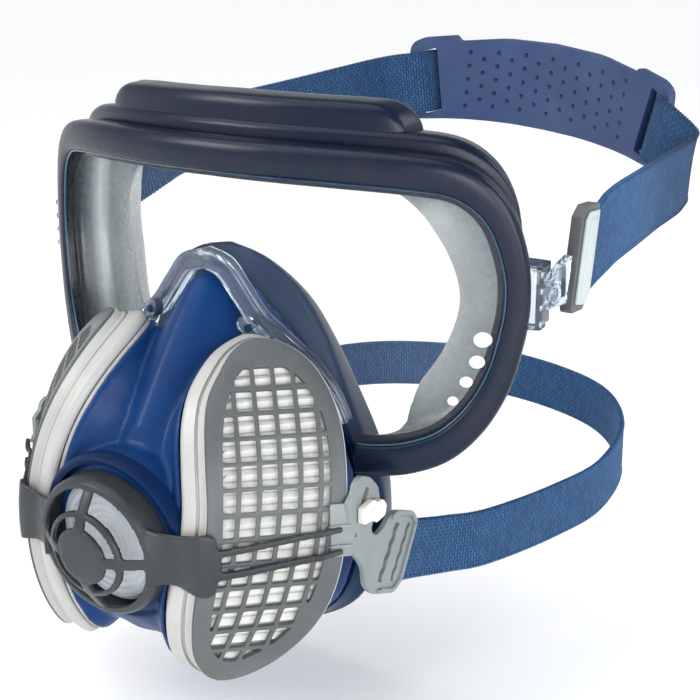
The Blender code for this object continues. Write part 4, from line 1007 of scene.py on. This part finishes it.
def cover_place(x, y, height):
    radius = math.hypot(x, y)
    crown = VALVE_DOME * (1 - min(1.0, max(0.0, radius - VALVE_DISC) / 11.6) ** 1.35)
    groove = 0.35 * math.exp(-((radius - VALVE_DISC - 0.25) / 0.3) ** 2)
    return valve_place(x, y, height + crown - (groove if height > -0.5 else 0.0))


ARM_LEVELS = smooth_path(((-38, -8.4), (-33.5, -8.0), (-29.8, -7.2), (-26.6, -5.0), (-23.8, -1.9),
                          (-21.6, 0.1), (-19.2, 0.62), (-12, 0.6), (0, 0.5), (11, 0.45), (12.9, 0.8),
                          (14.4, 2.0), (16.5, 2.3), (22, 2.3)), 160)


def arm_place(frame_of):
    """Height of a yoke arm: flat on the grille, falling over the rim, lifted over the bracket."""
    def place(w, a, h):
        level = np.interp(w, ARM_LEVELS[:, 0], ARM_LEVELS[:, 1])
        return frame_of.place(w, a, h + level)
    return place


ARM_EDGE = ((-33.5, -18.5), (-30, -19.3), (-26.5, -20.3), (-21.5, -21.6), (-18.5, -22), (-16.2, -20.5),
            (-15.6, -17), (-6, -16), (4, -14.6), (13, -13.4), (20.6, -11.0), (20.4, -9.6), (13, -11.4),
            (4, -12.6), (-6, -13.9), (-14.4, -14.6), (-14.4, -10.0), (-6, -9.0), (4, -7.6), (13, -6.4),
            (20.6, -4.8), (20.4, -3.4), (13, -4.6), (4, -5.8), (-6, -7.0), (-15.4, -8.0), (-15.8, -4.5),
            (-18, -3.2), (-21.5, -3.4), (-26.5, -4.0), (-30, -4.8), (-33.5, -5.5))


ARM_FLARE = ((-29, -3.9), (-31.4, -3.5), (-33.4, -2.8), (-35.4, -1.6), (-35.4, -22.6), (-33.4, -21.5),
             (-31.4, -20.8), (-29, -20.5))
COLLAR_RIM = ((-12.5, 26.3), (-9.0, 26.2), (-7.6, 25.8), (-7.2, 25.0), (-7.6, 23.6), (-9.2, 23.0),
              (-12.5, 23.0))


def make_yoke():
    inner = VALVE_SKIRT - 1.6
    section = soft_corners([(-8.0, VALVE_SKIRT), (-1.5, VALVE_SKIRT - 0.3), (0.25, VALVE_FACE),
                            (0.25, 19.3), (-1.9, 19.0), (-2.6, inner), (-8.0, inner)],
                           (0.4, 0.8, 0.5, 0.5, 0.3, 0.5, 0.3), 4)
    # The rim's darker navy is painted shade for the band above the guard.
    ring = turned("valve_collar_rim", COLLAR_RIM, VALVE_CENTRE, VALVE_AXIS, 96, wrap=True)
    finish(ring, "collar_navy", "mask")
    yoke = turned("valve_guard", section, VALVE_CENTRE, VALVE_AXIS, 96, wrap=True)
    holes = spoke_holes(8.8, 11.8, 3.2) + spoke_holes(13.4, 18.9, 3.2)
    cover = plate("cover", circle(19.6, 96), cover_place, -1.6, 0.02, holes=holes, spacing=1.0)
    boolean(yoke, cover, "UNION")
    for part in (yoke, ring):
        for vertex in part.data.vertices:
            vertex.co.x *= GUARD_STRETCH
    for _, sign in SIDES:
        outline = list(ARM_EDGE[2:-2]) + list(ARM_FLARE)
        arm = plate("arm", soft_corners(outline, 0.6, 2), arm_place(FilterFrame(sign)), 0.0, 1.6,
                    spacing=1.6)
        boolean(yoke, arm, "UNION")
    melt(yoke, 0.42, 3)
    finish(yoke, "dark_grille", "mask", ["harness_yoke"], sharp=60)


# ---------------------------------------------------------------- strap brackets
BRACKET_CORNER = Vector((65.1, -24.2, 0.0))
BRACKET_ALONG = Vector((-0.06, 0.998, 0.0))
BRACKET_HALF = 0.85
BRACKET_EDGE = ((-1.6, -50.6), (1.2, -49), (1.5, -46.5), (4.5, -44.6), (9.5, -46.2), (14.5, -51),
                (15.5, -57), (12, -60), (10.2, -63.5), (13, -66.2), (17, -65.5), (21, -62.8), (25, -62.1),
                (34, -65.4), (37.4, -69.5), (27.6, -86), (22.5, -88.3), (11, -84.3), (7.2, -80),
                (6.6, -74.5), (4, -70.8), (1.2, -68), (-1.6, -65))
BRACKET_LIP = ((21.5, -61.2), (25, -60.7), (35, -64.2), (38.6, -69.5), (28.4, -87), (22.5, -89.4),
               (12, -85.6))
LIP_INSET = 1.2
BRACKET_LINES = (((25.8, -66.3), (15.1, -81.8), 1.2), ((32.7, -68.7), (22.1, -84.1), 0.85))
PIN_SLOT = ((7.6, -48.6), (9.4, -49.8), (7.6, -53), (7.2, -56), (8.6, -60), (6.8, -61), (4.6, -57),
            (5, -52.4))
PIN_PLACE = (6.1, -56.5)
PIN_HEAD = ((2.6, -53.6), (8.4, -52.4), (9.6, -53.8), (13.4, -54), (15.4, -56.4), (14.6, -59.4),
            (9.4, -60.2), (8.2, -58.8), (2.6, -58.6))


def wavy_slot(start, end, half_width):
    """A long slot whose sides are scalloped to grip the webbing."""
    start, end = np.array(start), np.array(end)
    along = end - start
    across = np.array((-along[1], along[0])) / np.linalg.norm(along)
    stops = np.linspace(0, 1, 41)
    points = []
    for side, order in ((1, stops), (-1, stops[::-1])):
        for t in order:
            wave = 0.28 * math.cos(t * 2 * math.pi * 4)
            points.append(tuple(start + along * t + across * (side * half_width + wave)))
    return points


def bracket_lip(side, place):
    """A raised lip round the end of the bracket that holds the webbing."""
    outer = smooth_path(soft_corners(BRACKET_LIP, 2.0, 3), 60)
    section = soft_corners([(0, 0.6), (1.5, 0.6), (1.5, 1.7), (0, 1.7)], 0.35, 2)
    rings = []
    for k, (s, z) in enumerate(outer):
        before, after = outer[max(k - 1, 0)], outer[min(k + 1, len(outer) - 1)]
        along = np.array(after) - before
        normal = np.array((-along[1], along[0])) / np.linalg.norm(along)
        rings.append([place(s - normal[0] * (LIP_INSET + n), z - normal[1] * (LIP_INSET + n), h)
                      for n, h in section])
    lip = loft(f"bracket_lip_{side}", rings)
    finish(lip, "bracket_grey", "mask")


def bracket_tab(side, frame_of):
    """The tab that the yoke's arm lies on."""
    tab = plate(f"bracket_tab_{side}", soft_corners(box_outline(17.3, 23.4, -12.6, 2.8), 0.8),
                frame_of.place, 0.35, 1.55, spacing=2.0)
    bevel(tab, 0.3)
    finish(tab, "bracket_grey", "mask")


def bracket_ribs(side, frame_of):
    """Two ribs on the tab, one at each finger of the yoke's arm."""
    for number, (low, high) in enumerate(((-9.9, -8.9), (-4.1, -3.1)), 1):
        edge = [(16.4, low + 0.5), (18.5, low), (23.2, low), (23.2, high), (18.5, high)]
        rib = plate(f"bracket_rib_{side}_{number}", edge, frame_of.place, 1.3, 2.3)
        bevel(rib, 0.2)
        finish(rib, "bracket_grey", "mask")


def make_bracket(side, sign):
    across = Vector((BRACKET_ALONG.y, -BRACKET_ALONG.x, 0.0))

    def place(s, z, h):
        point = BRACKET_CORNER + BRACKET_ALONG * s + across * h
        return (point.x * sign, point.y, z)
    slots = [wavy_slot(*line) for line in BRACKET_LINES]
    edge = smooth_path(soft_corners(BRACKET_EDGE, 1.6, 3), 150, closed=True)
    body = plate(f"bracket_{side}", edge, place, -BRACKET_HALF, BRACKET_HALF,
                 holes=slots + [soft_corners(PIN_SLOT, 0.6, 2), circle(0.55, 16, (2.0, -62.0))])
    bevel(body, 0.28, 3)
    finish(body, "bracket_grey", "mask", [f"strap_bracket_{side}"])
    bracket_tab(side, FilterFrame(sign))
    bracket_lip(side, place)
    bracket_ribs(side, FilterFrame(sign))
    pin = plate(f"pin_{side}", soft_corners(PIN_HEAD, 0.9, 3), place, BRACKET_HALF + 0.3,
                BRACKET_HALF + 2.4)
    bevel(pin, 0.55, 3)
    finish(pin, "pin_white", "mask", [f"bracket_pin_{side}"])
    stem = turned(f"pin_stem_{side}", ((1.0, 0.9), (0.6, 1.1), (-3.2, 1.1), (-3.4, 0.9)),
                  place(*PIN_PLACE, BRACKET_HALF + 1.0), (sign, 0.06, 0), 24)
    finish(stem, "pin_white", "mask")


# ---------------------------------------------------------------- straps
STRAP_THICKNESS = 1.6
HEAD_STRAP_WIDTH = 25.0
NECK_STRAP_WIDTH = 19.0
COURSE = 0.55
EDGE_BAND = 0.91
WHIP_HEIGHT = 0.45
RIB_HEIGHT = 0.16
TWIST_SHARE = 0.36
TWIST_PACE = 0.72
HEAD_STRAP_LEFT = ((97.3, 55.4, 12), (96.2, 64, 14.4), (93.5, 80, 16.6), (88, 108, 17), (81.5, 138, 17),
                   (79.5, 163, 19.5), (76.5, 176, 22.6))
HEAD_STRAP_RIGHT = ((-97.3, 56.2, 15.4), (-96.2, 64, 20), (-93.5, 80, 27.5), (-88, 108, 31.5),
                    (-81.5, 138, 35), (-72.5, 163, 39), (-66.5, 177, 41.4))
THREADING = ((65, -2.6), (61, -2.9), (57, -2.9), (54.2, -1.6), (51.2, 1.4), (48.6, 2.9), (45, 3.1))
NECK_STRAP = ((61.1, -2, -76.2), (60.6, 8, -78.7), (61, 17, -81), (64.5, 30, -83.2), (70, 46, -84.8),
              (75.5, 80, -86), (77, 114, -86), (68, 148, -82), (44, 171, -77), (0, 179, -74),
              (-44, 171, -75), (-68, 148, -76), (-77, 114, -79), (-75.5, 80, -82), (-70, 46, -83),
              (-64.5, 30, -82.4), (-61, 17, -80.8), (-60.6, 8, -78.7), (-61.1, -2, -76.2))
PLATE_CENTRE = (5.0, 198.5, 44.5)
PLATE_ROLL = math.radians(6.1)
PLATE_RADIUS = 125.0
PLATE_DROP = 5.8
PLATE_THICKNESS = 3.0
PLATE_SLOT = 52.6
PLATE_HALF = ((0, 17.6), (22, 17.4), (41, 16.2), (43, 18.6), (57, 18.6), (62.3, 16.8), (62.7, 9),
              (62.5, -10), (60.5, -14.6), (55, -15.8), (40, -16.4), (20, -17.2), (0, -17.5))
BUCKLE_LEAN = math.radians(11)


def plate_place(u, v, h):
    """The head plate: bent around the head, arched and rolled."""
    angle = u / PLATE_RADIUS
    drop = v - PLATE_DROP * (u / 57.0) ** 2
    x = (PLATE_RADIUS + h) * math.sin(angle)
    y = (PLATE_RADIUS + h) * math.cos(angle) - PLATE_RADIUS
    turn_x = x * math.cos(PLATE_ROLL) + drop * math.sin(PLATE_ROLL)
    turn_z = -x * math.sin(PLATE_ROLL) + drop * math.cos(PLATE_ROLL)
    return (PLATE_CENTRE[0] + turn_x, PLATE_CENTRE[1] + y, PLATE_CENTRE[2] + turn_z)


def plate_lean(sign):
    """Angle of the plate's own upright at its slots, where the arched plate slopes."""
    return math.atan(2 * PLATE_DROP * PLATE_SLOT / 57.0 ** 2) * sign


def slot_upright(sign):
    low, high = (Vector(plate_place(PLATE_SLOT * sign - 8 * math.sin(plate_lean(sign)) * k, -8 * k, 0))
                 for k in (1, -1))
    return (high - low).normalized()


def ribbon(name, points, width, body, node, start_up=None, end_up=None):
    """Knitted webbing along a path: ribbed faces, whipped edges and marks for its weave."""
    reach = np.linalg.norm(np.diff(smooth_path(points, 200), axis=0), axis=1).sum()
    count = int(reach / COURSE)
    path = smooth_path(points, count)
    wales = int(width / COURSE)
    half = STRAP_THICKNESS / 2
    rings, marks = [], []
    for k, point in enumerate(path):
        along = Vector(path[min(k + 1, count - 1)] - path[max(k - 1, 0)]).normalized()
        face = along.cross(Vector((0, 0, 1))).normalized()
        up = face.cross(along)
        share = k / (count - 1)
        if start_up is not None and share < 0.1:
            up = Vector(start_up).lerp(up, share / 0.1)
        if end_up is not None and share > 1 - TWIST_SHARE:
            turn = min(1.0, (share - 1 + TWIST_SHARE) / (TWIST_SHARE * TWIST_PACE))
            up = up.lerp(Vector(end_up), turn * turn * (3 - 2 * turn))
        face = along.cross(up).normalized()
        middle = Vector(point)
        ring = []
        for side in (1, -1):
            for w in range(wales + 1):
                t = (1 - 2 * w / wales) * side
                edge = max(0.0, (abs(t) - 0.965) / 0.035)
                whip = WHIP_HEIGHT if k % 2 and abs(t) > EDGE_BAND else 0.0
                rib = RIB_HEIGHT * (k % 2) + 0.04 * (w % 2)
                bulge = math.sqrt(max(0.0, 1 - edge ** 2) * 0.84 + 0.16)
                depth = half * bulge - 0.12 + rib * 0.8 + whip * 0.6
                ring.append(middle + up * ((width / 2 + whip * 0.7) * t) + face * (depth * side))
                marks.append((t * width / 2, reach * share, 0.0))
        rings.append(ring)
    strap = loft(name, rings)
    caps = [(0.0, 0.0, 0.0)] * (len(strap.data.vertices) - len(marks))
    layer = strap.data.attributes.new("weave", "FLOAT_VECTOR", "POINT")
    layer.data.foreach_set("vector", np.array(marks + caps, dtype=np.float32).ravel())
    return finish(strap, "webbing_blue", body, node, sharp=80)


def make_straps():
    lean = Vector((0.0, math.sin(BUCKLE_LEAN), math.cos(BUCKLE_LEAN)))
    for (side, sign), route in zip(SIDES, (HEAD_STRAP_LEFT, HEAD_STRAP_RIGHT)):
        threaded = [plate_place(u * sign, 0.0, h) for u, h in THREADING]
        ribbon(f"head_webbing_{side}", list(route) + threaded, HEAD_STRAP_WIDTH, "head_harness",
               [f"head_strap_{side}"], start_up=lean, end_up=slot_upright(sign))
    ribbon("neck_webbing", NECK_STRAP, NECK_STRAP_WIDTH, "neck_harness", ["neck_strap"])


def make_head_plate():
    side = [tuple(p) for p in soft_corners(PLATE_HALF, (0, 3, 1.0, 1.0, 2, 2.4, 2, 2, 2, 2, 6, 6, 0), 4)]
    side = [p for p in side if p[0] > 0.5]
    outline = [(0.0, 17.6)] + side + [(0.0, -17.5)] + [mirrored(p) for p in side[::-1]]
    slots = []
    for _, sign in SIDES:
        lean = plate_lean(sign)
        slots.append([(PLATE_SLOT * sign + x * math.cos(lean) + y * math.sin(lean),
                       y * math.cos(lean) - x * math.sin(lean))
                      for x, y in soft_corners(box_outline(-3.8, 3.8, -13.5, 13.5), 1.2, 4)])
    pits = []
    for column in range(13):
        rows = 5 if column % 2 == 0 else 4
        for row in range(rows):
            pits.append(((column - 6) * 6.1, (row - (rows - 1) / 2) * 5.6 + 0.3))
    extra = [p for pit in pits for radius, count in ((1.05, 10), (0.6, 8))
             for p in circle(radius, count, pit)] + pits
    centres = np.array(pits)

    def pitted(u, v, h):
        gap = np.linalg.norm(centres - (u, v), axis=1).min()
        if h < 0 and gap < 0.95:
            h += 1.0 - 0.35 * (gap / 0.6) ** 2 if gap < 0.7 else 0.0
        return plate_place(u, v, h)
    half = PLATE_THICKNESS / 2
    body = plate("crown_plate", outline, pitted, -half, half, holes=slots, spacing=2.6, extra=extra)
    plan = PLANS[body.name]
    gaps = np.linalg.norm(plan[:, None, :] - centres[None], axis=2).min(1)
    # depth is 0 at the bottoms of the pits, where plate_navy paints shade.
    mark(body, "depth", np.concatenate([np.ones(len(plan)), (gaps > 0.8).astype(float)]))
    bevel(body, 0.7, 3, 60)
    finish(body, "plate_navy", "head_harness", ["head_plate"], sharp=50)


# ---------------------------------------------------------------- temple fittings
TEMPLE_Y, TEMPLE_Z = 29.5, 4.5
BLOCK_EDGE = ((95.6, 20.4), (97.6, 20.9), (99.6, 22.3), (99.6, 23.9), (96.2, 24.6), (96.2, 34), (86.5, 34),
              (91.8, 26.5))
BUCKLE_FRONT = 40.0
BUCKLE_LENGTH = 10.5
BUCKLE_LOW, BUCKLE_HIGH = -3.5, 28.0
FIELD_SHARE = (0.66, 0.84)
PIN_PROFILE = ((96.5, 2.1), (99.5, 2.1), (99.6, 3.1), (99.8, 3.3), (100.2, 3.3), (100.6, 2.9), (100.7, 2.2),
               (100.5, 1.5), (100.5, 0.6))


def upright_place(sign, lean=0.0):
    """Plates that stand beside the head: drawn in (Y, Z), height along X, the top leaning back."""
    return lambda y, z, x: (x * sign, y + z * math.tan(lean), z)


def temple_pivot(side, sign):
    """The clear block on the frame, its grip nubs and the pin that the link turns on."""
    block = plate(f"temple_housing_{side}", BLOCK_EDGE, lambda x, y, z: (x * sign, y, z), -5.0, 13.5)
    bevel(block, 0.5, 3)
    finish(block, "clear_clip", "mask", [f"temple_block_{side}"])
    for step in range(4):
        nub = turned(f"temple_nub_{side}_{step + 1}", ((0, 1.0), (1.4, 0.9), (1.7, 0.4)),
                     (99.0 * sign, 22.9, -3.2 + step * 4.9), (sign, 0, 0), 16)
        finish(nub, "clear_clip", "mask")
    pin = turned(f"pivot_pin_{side}", PIN_PROFILE, (0, TEMPLE_Y, TEMPLE_Z), (sign, 0, 0), 40)
    finish(pin, "clear_clip", "mask", [f"temple_pin_{side}"])


def temple_link(side, sign):
    """The clear link from the pin to the buckle, with three ribs."""
    nose = [(TEMPLE_Y + 4.5 * math.cos(t), TEMPLE_Z + 4.5 * math.sin(t))
            for t in np.linspace(math.pi * 0.6, math.pi * 1.6, 18)]
    outline = nose + [(38.8, -0.5), (39.4, 0.2), (41.6, 13.4), (40.6, 14.2), (35.5, 12.5)]
    holes = [circle(2.45, 32, (TEMPLE_Y, TEMPLE_Z)), soft_corners(box_outline(35.2, 37.6, 2.2, 11.8), 1.1)]
    link = plate(f"pivot_link_{side}", outline, upright_place(sign), 96.55, 99.25, holes=holes)
    bevel(link, 0.45, 3)
    finish(link, "clear_clip", "head_harness", [f"temple_link_{side}"])
    for step in range(3):
        y = 31.8 + step * 1.6
        edge = soft_corners(box_outline(y - 0.35, y + 0.35, 8.2, 11.8), 0.2, 1)
        rib = plate(f"pivot_link_rib_{side}_{step + 1}", edge, upright_place(sign), 99.1, 99.8)
        finish(rib, "clear_clip", "head_harness")


def temple_buckle(side, sign):
    """The dark buckle with its two slots, and the pale cover set into it with a raised field."""
    place = upright_place(sign, BUCKLE_LEAN)
    y1, y2 = BUCKLE_FRONT, BUCKLE_FRONT + BUCKLE_LENGTH
    low, high = BUCKLE_LOW, BUCKLE_HIGH
    frame_edge = [(y1, low + 1), (y1 + 1, low), (y2 - 3, low), (y2, low + 4), (y2, high - 1),
                  (y2 - 1, high), (y1 + 3, high), (y1, high - 3)]
    slots = [soft_corners(box_outline(y1 + 2.2, y1 + 4.2, low + 3, high - 3), 0.8),
             soft_corners(box_outline(y1 + 6.2, y1 + 8.2, low + 4.5, high - 3), 0.8)]
    shell = plate(f"buckle_frame_{side}", frame_edge, place, 96.4, 100.3, holes=slots)
    bevel(shell, 0.45, 3)
    finish(shell, "buckle_dark", "head_harness", [f"temple_buckle_{side}"])
    cover = [(y1 + 1.5, low + 2.6), (y2 - 3.8, low + 1.7), (y2 - 1.2, low + 5.4), (y2 - 1.2, high - 1.8),
             (y1 + 3.2, high - 1.8), (y1 + 1.5, high - 4)]
    insert = plate(f"buckle_cover_{side}", cover, place, 100.2, 101.4)
    bevel(insert, 0.55, 2)
    finish(insert, "buckle_pale", "head_harness", [f"buckle_insert_{side}"])
    middle = np.mean(cover, axis=0)
    field = [tuple(p) for p in middle + (np.array(cover) - middle) * FIELD_SHARE]
    raised = plate(f"buckle_field_{side}", field, place, 101.0, 101.7)
    bevel(raised, 0.25, 2)
    finish(raised, "buckle_pale", "head_harness")


def make_temple(side, sign):
    temple_pivot(side, sign)
    temple_link(side, sign)
    temple_buckle(side, sign)


def make_lens_dots():
    dots = ((85.1, -8.2, 2.3), (83.8, -15.0, 1.95), (81.2, -21.2, 1.65), (77.9, -27.2, 1.4))
    for number, (x, z, radius) in enumerate(dots, 1):
        dot = plate(f"lens_dot_{number}", circle(radius, 32, (x, z)), on_lens, 0.05, -0.12)
        finish(dot, "pin_white", "mask")


# ---------------------------------------------------------------- stage, light and camera
SKY_STOPS = ((0.0, (1.0, 1.0, 1.0)), (0.02, (1.0, 1.0, 1.0)), (0.10, (0.86, 0.87, 0.90)),
             (0.60, (0.24, 0.25, 0.27)))


def make_studio_sky():
    """A pale sky that is brightest near the horizon and dims overhead."""
    world = bpy.data.worlds.new("studio")
    world.use_nodes = True
    tree = world.node_tree
    place = tree.nodes.new("ShaderNodeTexCoord")
    split = tree.nodes.new("ShaderNodeSeparateXYZ")
    tree.links.new(place.outputs["Generated"], split.inputs[0])
    shade = tree.nodes.new("ShaderNodeValToRGB")
    tree.links.new(split.outputs["Z"], shade.inputs["Fac"])
    while len(shade.color_ramp.elements) < len(SKY_STOPS):
        shade.color_ramp.elements.new(0.5)
    for element, (height, colour) in zip(shade.color_ramp.elements, SKY_STOPS):
        element.position = height
        element.color = (*colour, 1.0)
    tree.links.new(shade.outputs["Color"], tree.nodes["Background"].inputs["Color"])
    bpy.context.scene.world = world


def add_lamp(name, kind, place, power, colour, size):
    data = bpy.data.lights.new(name, kind)
    data.energy = power
    data.color = colour
    if kind == "AREA":
        data.shape = "SQUARE"
        data.size = size
    else:
        data.angle = size
    lamp = bpy.data.objects.new(name, data)
    lamp.location = place
    lamp.rotation_euler = (Vector(place) - Vector((0, 0, -0.02))).to_track_quat("Z", "Y").to_euler()
    bpy.context.scene.collection.objects.link(lamp)


FLOOR_REACH, FLOOR_LEVEL = 30.0, -0.135


def make_stage():
    bpy.context.scene.view_settings.view_transform = "Standard"
    make_studio_sky()
    mesh = bpy.data.meshes.new("floor")
    square = box_outline(-FLOOR_REACH, FLOOR_REACH, -FLOOR_REACH, FLOOR_REACH)
    mesh.from_pydata([(x, y, FLOOR_LEVEL) for x, y in square], [], [(0, 1, 2, 3)])
    floor = bpy.data.objects.new("floor", mesh)
    bpy.context.scene.collection.objects.link(floor)
    Look("floor").set({"Base Color": (0.95, 0.95, 0.95, 1.0), "Roughness": 0.9,
                       "Emission Color": (1.0, 1.0, 1.0, 1.0), "Emission Strength": 0.18})
    mesh.materials.append(LOOKS["floor"])
    add_lamp("sun", "SUN", (-0.45, -0.55, 1.3), 1.75, (1.0, 0.995, 0.98), math.radians(70))
    add_lamp("key", "AREA", (-0.60, -0.70, 0.45), 3.2, (1.0, 0.99, 0.97), 0.35)
    add_lamp("front", "AREA", (0.70, -0.85, 0.12), 3.6, (1.0, 1.0, 1.0), 0.4)
    add_lamp("fill", "AREA", (0.95, -0.35, 0.20), 4.5, (0.93, 0.96, 1.0), 0.5)
    add_lamp("rim", "AREA", (0.65, 0.75, 0.60), 2.2, (0.95, 0.97, 1.0), 0.5)


def make_camera():
    data = bpy.data.cameras.new("camera")
    data.lens = 75.857
    data.sensor_width = 36.0
    data.clip_end = 200.0
    camera = bpy.data.objects.new("camera", data)
    camera.location = (0.29729, -0.38383, 0.10752)
    camera.rotation_euler = Vector((-0.565, 0.778, -0.2756)).to_track_quat("-Z", "Y").to_euler()
    bpy.context.scene.collection.objects.link(camera)
    bpy.context.scene.camera = camera


make_stage()
make_camera()
make_lens()
make_lens_dots()
make_goggle_frame()
make_goggle_skirt()
make_vent_base()
make_vent_lid()
make_nose_clip()
for piece_side, piece_sign in SIDES:
    make_clip_stud(piece_side, piece_sign)
make_half_mask()
make_face_seal()
make_exhalation_valve()
make_yoke()
make_straps()
make_head_plate()
for piece_side, piece_sign in SIDES:
    make_filter(piece_side, piece_sign)
    make_inhalation_valve(piece_side, piece_sign)
    make_bracket(piece_side, piece_sign)
    make_temple(piece_side, piece_sign)
